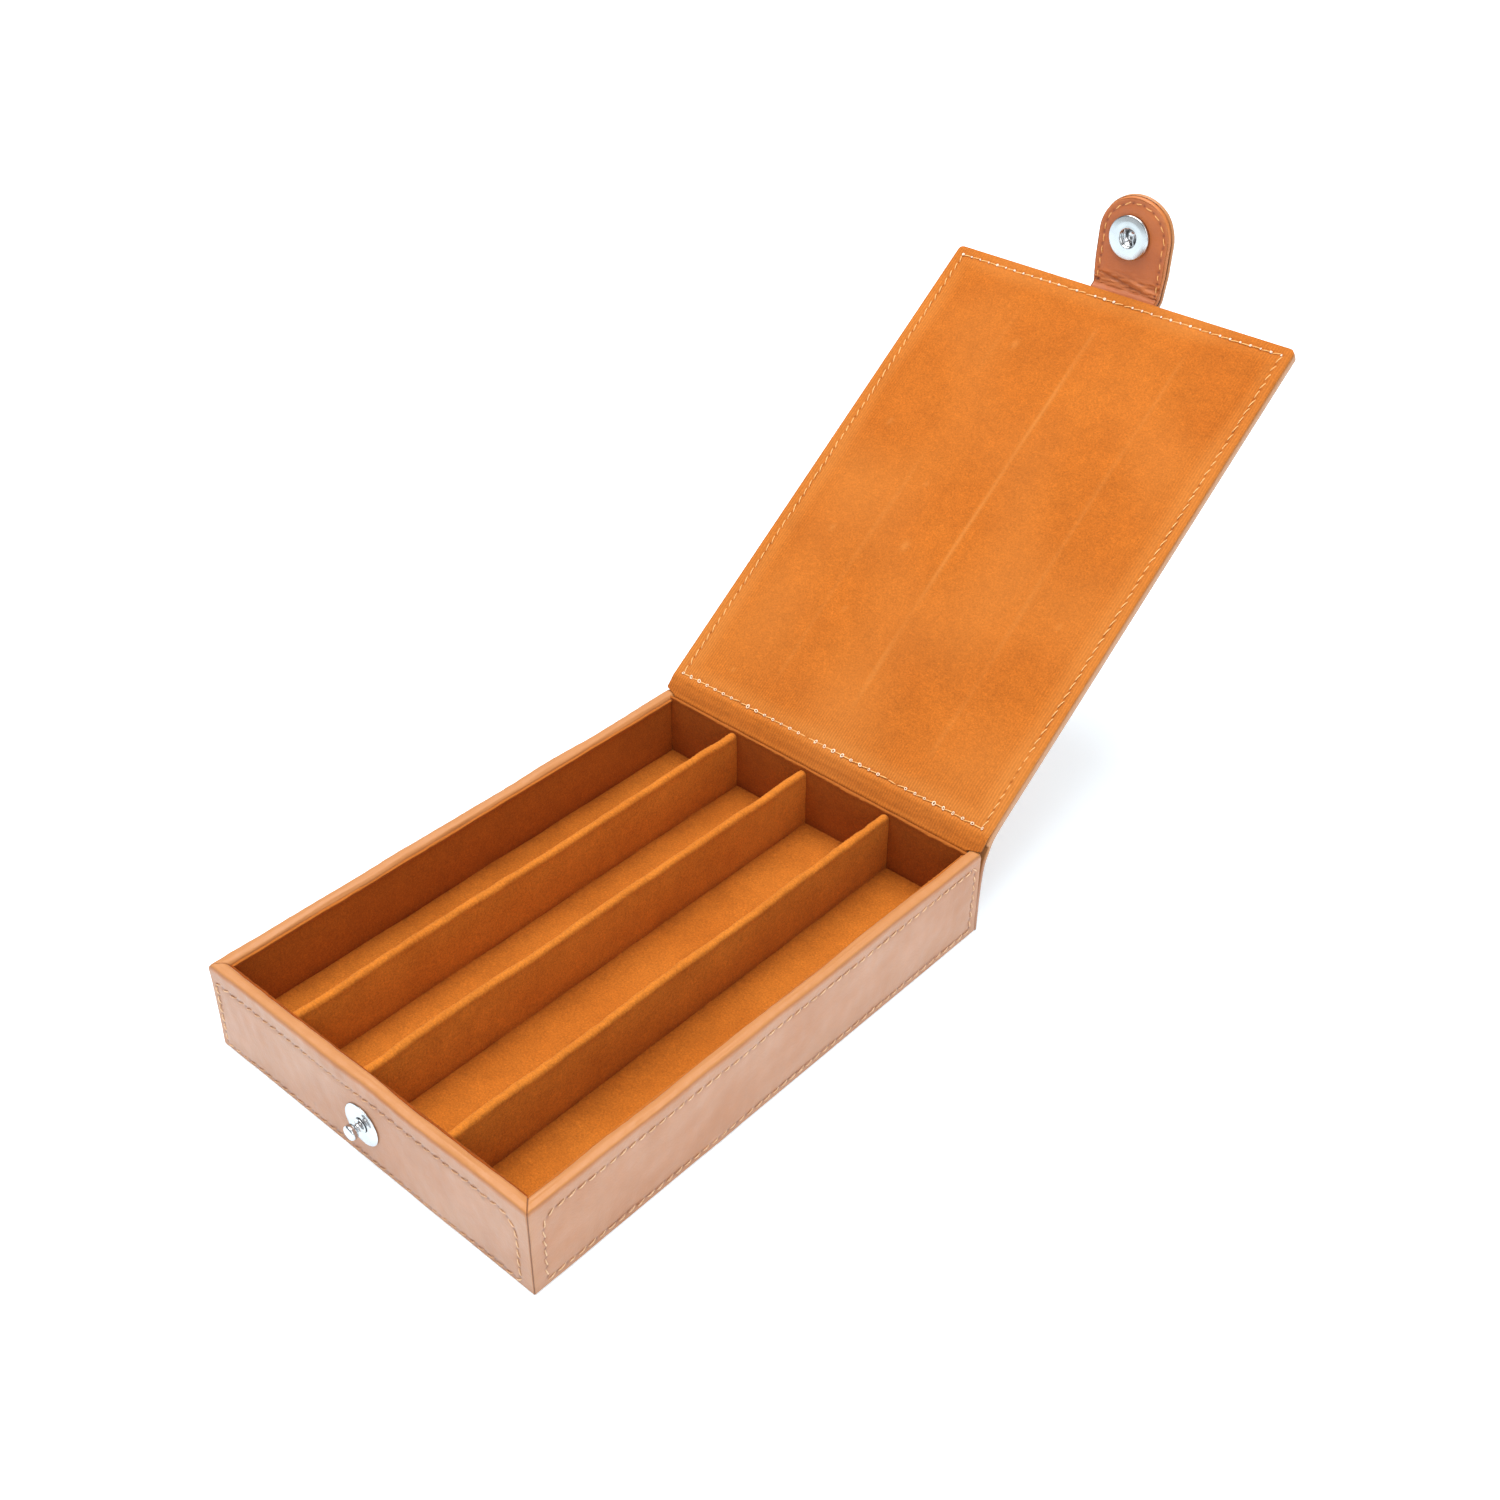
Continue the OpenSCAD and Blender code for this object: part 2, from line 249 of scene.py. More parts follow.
def suede(name, light, dark, pale):
    """Short-napped suede: brushed patches, a fine speckle, wear, ribs where the mesh has them."""
    m = Nodes(name)
    brushed = m.noise(9, detail=4, rough=0.65)
    nap = m.noise(0.5, detail=4, rough=0.85)
    colour = m.between(m.noise(24, detail=3), 0.3, 0.7, light, dark)
    colour = m.tint(0.6, colour, brushed, (0.3, 0.90), (0.7, 1.09))
    colour = m.tint(0.45, colour, m.noise(3.2, detail=3, rough=0.6), (0.32, 0.88), (0.68, 1.10))
    colour = m.tint(0.85, colour, nap, (0.3, 0.60), (0.7, 1.36))
    colour = m.mix(m.attribute("worn"), colour, pale)
    colour = m.tint(0.6, colour, m.noise(0.75, detail=3, rough=0.75), (0.3, 0.84), (0.7, 1.14))
    bands = {"Scale": math.pi / (10 * RIB_PITCH * MM), "Distortion": 2.2, "Detail": 2.0,
             "Detail Scale": 0.4}
    ribs = m.texture("ShaderNodeTexWave", bands, wave_type="BANDS", bands_direction="X"), "Color"
    colour = m.mix(m.attribute("ribs"), colour, m.tint(1.0, colour, ribs, (0.2, 0.74), (0.8, 1.16)))
    m.bump((brushed, 0.16), (nap, 0.14))
    # The seam attribute darkens to this brown: painted shade in holes, corners and recesses, and over the
    # walls' lining
    return m.done(m.shaded(colour, (0.46, 0.30, 0.16)), Roughness=0.92, Specular_IOR_Level=0.18,
                  Sheen_Weight=0.14, Sheen_Roughness=0.38, Sheen_Tint=(1.0, 0.55, 0.22, 1))


def thread(name, light, dark):
    """Waxed thread with a lay of fine twisted strands, darker brown where the mesh's seam attribute paints
    shade.
    """
    m = Nodes(name)
    lay = m.noise(0.5, detail=2, stretch=(1.5, 1.0, 2.4))
    strands = m.between(lay, 0.35, 0.65, light, dark)
    strands = m.mix(m.ramp(m.noise(9, detail=2), (0.42, 0), (0.72, 0.5)), strands, dark)
    m.bump((lay, 0.08))
    return m.done(m.mix(m.attribute("seam"), strands, (0.38, 0.155, 0.072)), Roughness=0.62,
                  Sheen_Weight=0.05, Specular_IOR_Level=0.4)


def nickel(name, tone, rough):
    """Polished plate with faint handling scratches."""
    m = Nodes(name)
    scratches = m.noise(0.8, detail=5, rough=0.7, stretch=(1, 1, 9))
    m.bump((scratches, 0.0003))
    return m.done(m.between(m.noise(3.0, detail=2), 0.3, 0.7, tone, tuple(0.9 * t for t in tone)),
                  m.ramp(scratches, (0.3, rough), (0.7, rough * 1.5)), Metallic=1.0)


def pulp_board(name, light, dark):
    """Fibrous board, also used for the foam pad."""
    m = Nodes(name)
    fibre = m.noise(1.2, detail=5, rough=0.7, stretch=(1, 2.5, 1))
    m.bump((fibre, 0.08))
    return m.done(m.between(fibre, 0.35, 0.65, light, dark), Roughness=0.9, Specular_IOR_Level=0.2)


TAN = leather("tan_leather", (0.490, 0.230, 0.121), (0.445, 0.176, 0.069), (0.475, 0.185, 0.043))
BROWN = leather("brown_leather", (0.50, 0.134, 0.028), (0.40, 0.096, 0.019), (0.56, 0.18, 0.04),
                sheen=0.0, coat=0.04)
SUEDE = suede("suede", (0.485, 0.132, 0.0125), (0.435, 0.112, 0.010), (0.55, 0.19, 0.035))
# The floor's and dividers' suede is a lighter copy: partly a paler nap, partly painted light for these
# better lit pieces
PALE_LIT_SUEDE = suede("pale_lit_suede", (0.63, 0.200, 0.022), (0.53, 0.154, 0.014), (0.58, 0.190, 0.027))
OCHRE = thread("ochre_thread", (0.86, 0.58, 0.36), (0.64, 0.37, 0.19))
GOLDEN = thread("golden_thread", (0.92, 0.53, 0.20), (0.70, 0.33, 0.09))
BUFF = thread("buff_thread", (0.95, 0.80, 0.64), (0.86, 0.60, 0.36))
PALE = thread("pale_thread", (0.92, 0.82, 0.72), (0.84, 0.60, 0.42))
NICKEL = nickel("nickel", (0.62, 0.63, 0.64), 0.13)
DULL_NICKEL = nickel("dull_nickel", (0.55, 0.56, 0.56), 0.16)
SPRING = nickel("spring_steel", (0.50, 0.50, 0.51), 0.20)
BOARD = pulp_board("board", (0.20, 0.115, 0.062), (0.14, 0.078, 0.040))
FOAM = pulp_board("foam", (0.85, 0.80, 0.68), (0.74, 0.68, 0.55))


# ---- shapes
def ripple(x, y, size, seed):
    """Smooth seeded unevenness about 1 high, with features of about the given size."""
    random = np.random.default_rng(seed)
    total = np.zeros(np.broadcast(x, y).shape)
    for _ in range(7):
        angle, phase = random.uniform(0, 2 * math.pi, 2)
        rate = 2 * math.pi / size * random.uniform(0.6, 1.5)
        total = total + np.sin((x * math.cos(angle) + y * math.sin(angle)) * rate + phase)
    return total / 2.6


def unit(t):
    return np.clip(t, 0, 1)


def ease(t):
    """Goes smoothly from 0 to 1 as t does."""
    t = unit(t)
    return t * t * (3 - 2 * t)


def bell(distance, width):
    """1 at no distance, falling smoothly away over about the given width."""
    return np.exp(-((distance / width) ** 2))


def steps(start, end, pitch):
    return np.linspace(start, end, max(2, int(round(abs(end - start) / pitch)) + 1))


def stations(start, *stretches):
    """Grid lines from start on through stretches of (end, pitch)."""
    lines = np.array([start], float)
    for end, pitch in stretches:
        lines = np.concatenate([lines, steps(lines[-1], end, pitch)[1:]])
    return lines


def graded(start, end, fine, coarse, margin):
    """Grid lines that are fine near both ends and coarse between."""
    return stations(start, (start + margin, fine), (end - margin, coarse), (end, fine))


def full_turn(count):
    return np.linspace(0, 2 * math.pi, count, endpoint=False)


def arc(centre, radius, start, end, count=14):
    """Points of an arc, angles in degrees."""
    turn = np.radians(np.linspace(start, end, count))
    return np.array(centre) + radius * np.stack([np.cos(turn), np.sin(turn)], axis=1)


def chain(*parts):
    """One line from single points and runs of points."""
    return np.concatenate([np.reshape(part, (-1, 2)) for part in parts]).astype(float)


class Path:
    """A line in a plane, measured by its length, with a normal on its left or right."""

    def __init__(self, *parts, left=True):
        points = chain(*parts)
        keep = np.concatenate([[True], np.linalg.norm(np.diff(points, axis=0), axis=1) > 1e-6])
        self.points = points[keep]
        lengths = np.linalg.norm(np.diff(self.points, axis=0), axis=1)
        self.u = np.concatenate([[0], np.cumsum(lengths)])
        self.length = self.u[-1]
        tangent = np.diff(self.points, axis=0) / lengths[:, None]
        tangent = np.concatenate([tangent[:1], tangent[:-1] + tangent[1:], tangent[-1:]])
        tangent /= np.linalg.norm(tangent, axis=1)[:, None]
        side = 1 if left else -1
        self.normals = side * np.stack([-tangent[:, 1], tangent[:, 0]], axis=1)

    def at(self, u, z):
        """The points at length u and height z above the path."""
        place = [np.interp(u, self.u, self.points[:, k]) for k in (0, 1)]
        normal = [np.interp(u, self.u, self.normals[:, k]) for k in (0, 1)]
        size = np.hypot(*normal)
        return place[0] + z * normal[0] / size, place[1] + z * normal[1] / size


class Sheet:
    """A closed sheet over the grid xs by us, from z = -thickness to 0, with rounded edges.

    face is 1 on the upper side, -1 on the lower side and 0 round the edge. hole is (x0, x1, u0, u1): the
    grid cells inside it are left out right through."""

    EDGE_STEPS = 3

    def __init__(self, xs, us, thickness, rounding, hole=None):
        xs, us = np.array(xs, float), np.array(us, float)
        i0, i1 = np.searchsorted(xs, hole[:2]) if hole else (0, 0)
        j0, j1 = np.searchsorted(us, hole[2:]) if hole else (0, 0)
        self.hole = (i0, i1, j0, j1)
        thick = thickness(xs[:, None], us[None, :]) if callable(thickness) else thickness
        low = -np.broadcast_to(thick, (len(xs), len(us)))
        self.parts, self.faces = [], []
        top = self.grid(xs, us, rounding, np.zeros(low.shape), 1)
        bottom = self.grid(xs, us, rounding, low, -1)
        border = self.around(0, len(xs) - 1, 0, len(us) - 1)
        angles = np.linspace(0, math.pi / 2, self.EDGE_STEPS + 1)[1:]
        rings = [(rounding * (1 - math.sin(a)), -rounding * (1 - math.cos(a)), 0) for a in angles]
        rings += [(inset, -drop, 1) for inset, drop, _ in reversed(rings)]
        loop, count = [top[at] for at in border], 2 * low.size
        for inset, drop, lowered in rings:
            x, u = self.inset(xs, us, inset)
            z = [drop + lowered * low[at] for at in border]
            self.parts.append(([x[i] for i, _ in border], [u[j] for _, j in border], z, [0] * len(border)))
            after = list(range(count, count + len(border)))
            self.join(loop, after)
            loop, count = after, count + len(border)
        self.join(loop, [bottom[at] for at in border])
        if hole:
            rim = self.around(*self.hole)
            self.join([top[at] for at in rim], [bottom[at] for at in rim])
        self.x, self.u, self.z, self.face = (
            np.concatenate([np.ravel(part[k]) for part in self.parts]).astype(float) for k in range(4))

    @staticmethod
    def around(i0, i1, j0, j1):
        """The grid points round a block of cells, in order."""
        return ([(i, j0) for i in range(i0, i1)] + [(i1, j) for j in range(j0, j1)]
                + [(i, j1) for i in range(i1, i0, -1)] + [(i0, j) for j in range(j1, j0, -1)])

    @staticmethod
    def inset(xs, us, amount):
        x, u = xs.copy(), us.copy()
        x[0], x[-1], u[0], u[-1] = x[0] + amount, x[-1] - amount, u[0] + amount, u[-1] - amount
        return x, u

    def join(self, first, second):
        """Adds the quads between two loops of points."""
        self.faces += zip(first, first[1:] + first[:1], second[1:] + second[:1], second)

    def grid(self, xs, us, rounding, z, face):
        x, u = self.inset(xs, us, rounding)
        nx, nu = len(x), len(u)
        self.parts.append((np.repeat(x, nu), np.tile(u, nx), z.ravel(), np.full(nx * nu, face)))
        index = (0 if face == 1 else nx * nu) + np.arange(nx * nu).reshape(nx, nu)
        i0, i1, j0, j1 = self.hole
        for i in range(nx - 1):
            for j in range(nu - 1):
                if i0 <= i < i1 and j0 <= j < j1:
                    continue
                quad = (index[i, j], index[i + 1, j], index[i + 1, j + 1], index[i, j + 1])
                self.faces.append(quad if face == 1 else quad[::-1])
        return index


def add_object(name, data):
    thing = bpy.data.objects.new(name, data)
    bpy.context.scene.collection.objects.link(thing)
    return thing


def make_piece(name, points, faces, material, slot, **attributes):
    """A smooth mesh object from points in millimetres. The attributes drive its material."""
    mesh = bpy.data.meshes.new(name)
    mesh.from_pydata((np.array(points) * MM).tolist(), [], [tuple(int(i) for i in f) for f in faces])
    for key, values in attributes.items():
        mesh.attributes.new(key, "FLOAT", "POINT").data.foreach_set("value", np.array(values, np.float32))
    working = bmesh.new()
    working.from_mesh(mesh)
    bmesh.ops.delete(working, geom=[v for v in working.verts if not v.link_faces], context="VERTS")
    bmesh.ops.recalc_face_normals(working, faces=working.faces)
    working.to_mesh(mesh)
    working.free()
    mesh.materials.append(material)
    mesh.polygons.foreach_set("use_smooth", [True] * len(mesh.polygons))
    mesh.update()
    piece = add_object(name, mesh)
    return piece


def tube_faces(rings, sides, start=0, ring_loop=False, side_loop=True):
    """The quads between rings of points. Both the rings and their order can close into loops."""
    def at(i, j):
        return start + i % rings * sides + j % sides

    return [(at(i, j), at(i, j + 1), at(i + 1, j + 1), at(i + 1, j))
            for i in range(rings - (not ring_loop)) for j in range(sides - (not side_loop))]


def end_caps(rings, sides, start=0):
    last = start + (rings - 1) * sides
    return [range(start, start + sides)[::-1], range(last, last + sides)]


def in_frame(points, matrix):
    m = np.array(matrix)
    return np.array(points) @ m[:3, :3].T + m[:3, 3]


LATHE_STEPS = 96


def make_lathe(name, profile, matrix, material, body, closed=True):
    """Turns a profile of (radius, height) round the matrix's Z axis. It replaces the node of its name."""
    points = [(r * math.cos(t), r * math.sin(t), h) for t in full_turn(LATHE_STEPS) for r, h in profile]
    rows = len(profile)
    faces = tube_faces(LATHE_STEPS, rows, ring_loop=True, side_loop=closed)
    if not closed:
        faces += [range(0, len(points), rows), range(rows - 1, len(points), rows)[::-1]]
    piece = make_piece(name, in_frame(points, matrix), faces, material, "nickel")
    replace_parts(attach(piece, body), name)


# ---- seams
# How far a needle hole pulls the sheet in and how far its painted shade reaches, how deep a stitch is let
# in, and how high a knot lies
HOLE_PULL, HOLE_SHADE = 0.45, 0.36
STITCH_SINK = 0.1
KNOT_RISE = 0.06


class Seam:
    """A line of stitches in a sheet's flat coordinates."""

    def __init__(self, points, pitch):
        lengths = np.concatenate([[0], np.cumsum(np.linalg.norm(np.diff(points, axis=0), axis=1))])

        def sample(at):
            return np.stack([np.interp(at, lengths, points[:, k]) for k in (0, 1)], axis=1)

        self.count = int(round(lengths[-1] / pitch))
        self.pitch = lengths[-1] / self.count
        self.dense = sample(np.linspace(0, lengths[-1], self.count * 8 + 1))
        middles = (np.arange(self.count) + 0.5) * self.pitch
        self.middles = sample(middles)
        ahead = sample(middles + 0.3) - sample(middles - 0.3)
        self.directions = ahead / np.linalg.norm(ahead, axis=1)[:, None]
        self.holes = sample(np.arange(self.count + 1) * self.pitch)

    @staticmethod
    def nearest(x, u, targets):
        """Distance from each (x, u) to the closest target."""
        result = np.full(len(x), 1e9)
        for start in range(0, len(targets), 64):
            part = targets[start:start + 64]
            gap = np.hypot(x[:, None] - part[None, :, 0], u[:, None] - part[None, :, 1])
            result = np.minimum(result, gap.min(axis=1))
        return result

    def marks(self, x, u, depth=0.13, width=0.75, dark=0.0):
        """The groove that the thread pulls, deeper at the holes, and the painted shade in it and in the
        holes.
        """
        line = self.nearest(x, u, self.dense)
        hole = self.nearest(x, u, self.holes)
        groove = depth * bell(line, width) + 0.8 * depth * bell(hole, HOLE_PULL)
        return groove, unit(dark * bell(line, 0.5) + 0.9 * bell(hole, HOLE_SHADE))


def sewn(x, u, where, seams, **cut):
    """Groove and painted shade that the seams make at the points of a sheet that where picks."""
    groove, shade = np.zeros((2, len(x)))
    for seam in seams:
        groove[where], shade[where] = np.maximum((groove[where], shade[where]),
                                                 seam.marks(x[where], u[where], **cut))
    return groove, shade


def rounded_loop(x0, x1, u0, u1, radii):
    """A closed loop with corner radii (low-low, high-low, high-high, low-high)."""
    a, b, c, d = radii
    return chain(arc((x0 + a, u0 + a), a, 180, 270), arc((x1 - b, u0 + b), b, 270, 360),
                 arc((x1 - c, u1 - c), c, 0, 90), arc((x0 + d, u1 - d), d, 90, 180), (x0, u0 + a))


def make_stitches(name, seam, place, body, material, slot, radius=0.18, reach=0.38, rise=0.14, slant=12,
                  seed=1, wander=0.06, soiled=lambda x: 0 * x):
    """One short thread per stitch, sunk at its ends and standing proud in the middle."""
    random = np.random.default_rng(seed)
    count, rings, sides = seam.count, 7, 7
    slants = np.radians(slant + random.normal(0, 4, count))
    centres = seam.middles + random.normal(0, wander, (count, 2))
    lengths = seam.pitch * (reach + random.normal(0, 0.02, count))
    turn = full_turn(sides)
    points, faces = [], []
    for k, (tx, tu) in enumerate(seam.directions):
        c, s = math.cos(slants[k]), math.sin(slants[k])
        along = np.array([tx * c - tu * s, tx * s + tu * c])
        across = np.array([-along[1], along[0]])
        for p in np.linspace(-1, 1, rings):
            swell = radius * math.sqrt(max(1 - (abs(p) ** 3) * 0.72, 0.05))
            height = rise * (1 - p * p) - 0.55 * radius * abs(p) ** 3 - STITCH_SINK
            flat = centres[k] + along * (p * lengths[k]) + across * (swell * np.cos(turn))[:, None]
            points.append(np.column_stack([flat, height + swell * np.sin(turn)]))
        start = k * rings * sides
        faces += tube_faces(rings, sides, start) + end_caps(rings, sides, start)
    flat = np.concatenate(points).T
    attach(make_piece(name, place(*flat), faces, material, slot, seam=soiled(flat[0])), body)


def make_knots(name, places, place, body, material, slot, radius, bore, seed):
    """Small loops of the under-thread that show at the holes. bore is how open they are, 0 to 1."""
    random = np.random.default_rng(seed)
    around, sides = 9, 6
    points, faces = [], []
    for k, (x, u) in enumerate(places):
        spin = random.uniform(0, math.pi)
        size = radius * random.uniform(0.7, 1.2)
        lean = random.uniform(0.6, 1.0)
        c, s = math.cos(spin), math.sin(spin)
        for t in full_turn(around):
            for r in full_turn(sides):
                out = size * (0.5 + 0.5 * bore + (0.5 - 0.5 * bore) * math.cos(r))
                px, pu = out * math.cos(t), lean * out * math.sin(t)
                points.append((x + px * c - pu * s, u + px * s + pu * c,
                               KNOT_RISE + size * (0.55 - 0.5 * bore) * math.sin(r)))
        faces += tube_faces(around, sides, k * around * sides, ring_loop=True)
    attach(make_piece(name, place(*np.array(points).T), faces, material, slot), body)


# ---- the tray's walls
SHOULDER = 1.3
SHOULDER_Z = TRAY_H - SHOULDER - 0.1
RIM_PATH = Path((0, 0), arc((SHOULDER, SHOULDER_Z), SHOULDER, 180, 110, 12), (WALL / 2, TRAY_H - 0.02),
                arc((WALL - SHOULDER, SHOULDER_Z), SHOULDER, 70, 0, 12), (WALL, LINING_TOP + 0.12))
# From this length along RIM_PATH on, the leather is worn to the rim's orange
BAND_U = SHOULDER_Z + SHOULDER * math.radians(38)
PITCH = 3.0


def wall_frame(side):
    """Turns (along, depth, z) of one wall into the case's x, y, z."""
    turns = {
        "front": lambda s, d, z: (s, d - HALF_L, z),
        "right": lambda s, d, z: (HALF_W - d, s, z),
        "back": lambda s, d, z: (-s, HALF_L - d, z),
        "left": lambda s, d, z: (d - HALF_W, -s, z),
    }
    return turns[side]


def rim_placer(side, length, ends, seed):
    """Lays a sheet up the outside of a wall and over its rim. ends are "mitre" or "square"."""
    turn = wall_frame(side)
    low_cut, high_cut = (1.0 if end == "mitre" else 0.0 for end in ends)
    low_gap, high_gap = (0.0 if end == "mitre" else LEATHER_T for end in ends)

    def place(s, u, z):
        depth, height = RIM_PATH.at(u, z)
        on_rim = ease((u - (TRAY_H - 6)) / 5)
        height = height + 0.09 * ripple(s, 0, 44, seed) * on_rim
        depth = depth + 0.10 * ripple(s, 0, 31, seed + 1) * on_rim
        inward = np.clip(depth, 0, None)
        low = -length / 2 + low_gap + low_cut * inward
        high = length / 2 - high_gap - high_cut * inward
        along = low + (s + length / 2) / length * (high - low)
        return np.stack(turn(along, depth, height), axis=-1)

    return place


def make_rim_wall(side, length, ends, loop, seed, **stitching):
    """A leather wall panel, turned over the rim, with its stitching along the loop."""
    place = rim_placer(side, length, ends, seed)
    seam = Seam(loop, PITCH)
    sheet = Sheet(graded(-length / 2, length / 2, 0.4, 0.62, 6),
                  stations(0, (TRAY_H - 3.5, 0.5), (RIM_PATH.length, 0.21)),
                  lambda s, u: LEATHER_T - 0.4 * ease((u - TRAY_H - 1) / 2) + 0 * s, rounding=0.39)
    x, u, outside = sheet.x, sheet.u, sheet.face == 1
    groove, shade = sewn(x, u, outside, [seam])
    swell = 0.10 * ripple(x, u, 30, seed + 5) + 0.035 * ripple(x, u, 6, seed + 6)
    rim = ease((u - BAND_U + 0.15) / 0.3)
    rim_line = bell(u - BAND_U, 0.24)
    crease = 0.05 * ripple(x * 0.06, u, 1.5, seed + 8) * rim - 0.07 * rim_line
    z = sheet.z + np.where(outside, swell - groove + crease, 0)
    to_end = length / 2 - np.abs(x)
    edge = unit(bell(to_end, 1.1) + bell(u, 0.8))
    worn = unit(0.9 * rim + 0.3 * edge) * (sheet.face >= 0)
    # Painted shade in the gap at the panel's ends, on its edge and underside, over a faint dark joint line
    # on its face
    joint = (0.42 * (sheet.face < 1) + 0.08) * bell(to_end, 0.30)
    shade = unit(shade + 0.30 * rim_line + joint)
    piece = make_piece(f"{side}_leather", place(x, u, z), sheet.faces, TAN, "tan_leather",
                       seam=shade, worn=worn)
    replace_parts(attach(piece, "tray"), f"{side}_leather")
    make_stitches(f"{side}_stitching", seam, lambda s, u, h: place(s, u, h + 0.05), "tray", OCHRE,
                  "tan_leather", seed=seed, slant=16, **stitching)


def make_rim_walls():
    """Away from its ends the front seam's thread gets painted shade, and the right one's climbs towards the
    back.
    """
    front_loop = rounded_loop(-HALF_W + 1.9, HALF_W - 4.2, 1.3, TRAY_H - 5.0, (0.8, 0.8, 5.5, 0.8))
    make_rim_wall("front", 2 * HALF_W, ("mitre", "mitre"), front_loop, seed=11,
                  soiled=lambda x: 0.45 * ease((HALF_W - 6 - np.abs(x)) / 3))
    right_loop = rounded_loop(-HALF_L + 4.0, HALF_L - 2.4, 1.8, TRAY_H - 4.4, (0.8, 0.8, 0.8, 4.2))
    right_loop[:, 1] *= 1 + 0.04 * ease((right_loop[:, 0] + HALF_L / 2) / HALF_L)
    make_rim_wall("right", 2 * HALF_L, ("mitre", "square"), right_loop, seed=37)
    left_loop = rounded_loop(-HALF_L + 2.4, HALF_L - 4.0, 1.8, TRAY_H - 4.6, (0.8, 0.8, 4.2, 0.8))
    make_rim_wall("left", 2 * HALF_L, ("square", "mitre"), left_loop, seed=23)


make_rim_walls()


# ---- the tray's lining, floor and dividers
LINING_TUCK = 0.4


def make_lining(side, length, top, seed, dark, worn, lap=1.3, lip=0.0):
    """Suede on the inside of one wall, with a soft cut edge that stands a little proud.

    lap is how far the edge climbs on to the rim. dark is how much painted shade the whole gets, lip how
    much more its edge gets, and worn how pale that edge is, partly from wear and partly as a painted
    highlight."""
    span = top + lap - FLOOR_Z + LINING_TUCK
    sheet = Sheet(steps(-length / 2, length / 2, 0.7), stations(0, (span - 3, 1.2), (span, 0.35)),
                  SUEDE_T + 0.1, rounding=0.32)
    x, u = sheet.x, sheet.u
    near_top = ease((u - span + 1.6) / 1.6)
    fuzz = np.random.default_rng(seed).normal(0, 1, len(x))
    z = sheet.z + np.where(sheet.face == 1, 0.08 * ripple(x, u, 26, seed), 0)
    z = z + (0.16 + 0.38 * lap) * near_top + 0.03 * fuzz * near_top
    height = FLOOR_Z - LINING_TUCK + u + near_top * (0.05 * ripple(x, 0, 9, seed + 1) + 0.03 * fuzz)
    points = np.stack(wall_frame(side)(x, WALL + z, height), axis=-1)
    # The top edge is paler, partly a worn cut edge, partly a painted highlight; the shade is painted: over
    # the whole wall, in the corner at the floor and, by lip, along the top edge
    worn = worn * ease((u - span + 0.7) / 0.7) * (sheet.face >= 0)
    shade = dark + 0.3 * bell(u, 2.2) + lip * near_top
    piece = make_piece(f"{side}_lining", points, sheet.faces, SUEDE, "suede", worn=worn, seam=shade)
    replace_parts(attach(piece, "tray"), f"{side}_lining")


make_lining("front", 2 * (INNER_W + SUEDE_T), LINING_TOP, seed=41, dark=0.5, worn=0.10, lip=0.3)
make_lining("left", 2 * INNER_L, LINING_TOP, seed=53, dark=0.30, worn=0.55)
make_lining("right", 2 * INNER_L, LINING_TOP, seed=43, dark=0.30, worn=0.55)
make_lining("back", 2 * (INNER_W + SUEDE_T), TRAY_H - 0.35, seed=47, dark=0.5, worn=0.55, lap=0.0)


def make_floor():
    """The floor's suede over its soft pad: a shallow cushion in each compartment."""
    low, high = floor_low, floor_high
    sheet = Sheet(steps(low[0], high[0], 0.9), steps(low[1], high[1], 1.6), SUEDE_T, rounding=0.3)
    x, u = sheet.x, sheet.u
    edges = [-INNER_W] + [e for pair in DIVIDERS for e in pair] + [INNER_W]
    plump, shade = np.zeros(len(x)), np.ones(len(x))
    for left, right in zip(edges[::2], edges[1::2]):
        gap = np.clip(np.minimum.reduce([x - left, right - x, INNER_L - np.abs(u)]), 0, None)
        inside = (x > left) & (x < right)
        cushion = np.maximum(plump, 0.55 * (1 - np.exp(-gap / 2.4)) - 0.3)
        plump = np.where(inside, cushion, plump)
        shade = np.where(inside, np.exp(-gap / 1.5), shade)
    z = sheet.z + np.where(sheet.face == 1, plump + 0.06 * ripple(x, u, 22, 61), 0)
    # The seam attribute darkens the whole floor a little, and adds painted shade towards the walls and
    # dividers
    piece = make_piece("floor_lining", np.stack([x, u, FLOOR_Z + z], axis=-1), sheet.faces, PALE_LIT_SUEDE,
                       "suede", seam=0.30 + 0.40 * shade)
    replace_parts(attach(piece, "tray"), "floor_lining")


make_floor()

# A divider's suede: its thickness, how far it is tucked below the floor, and the ribs along its top
WRAP_T = 0.6
WRAP_TUCK = 0.2
WRAP_RIB_PITCH = 1.15


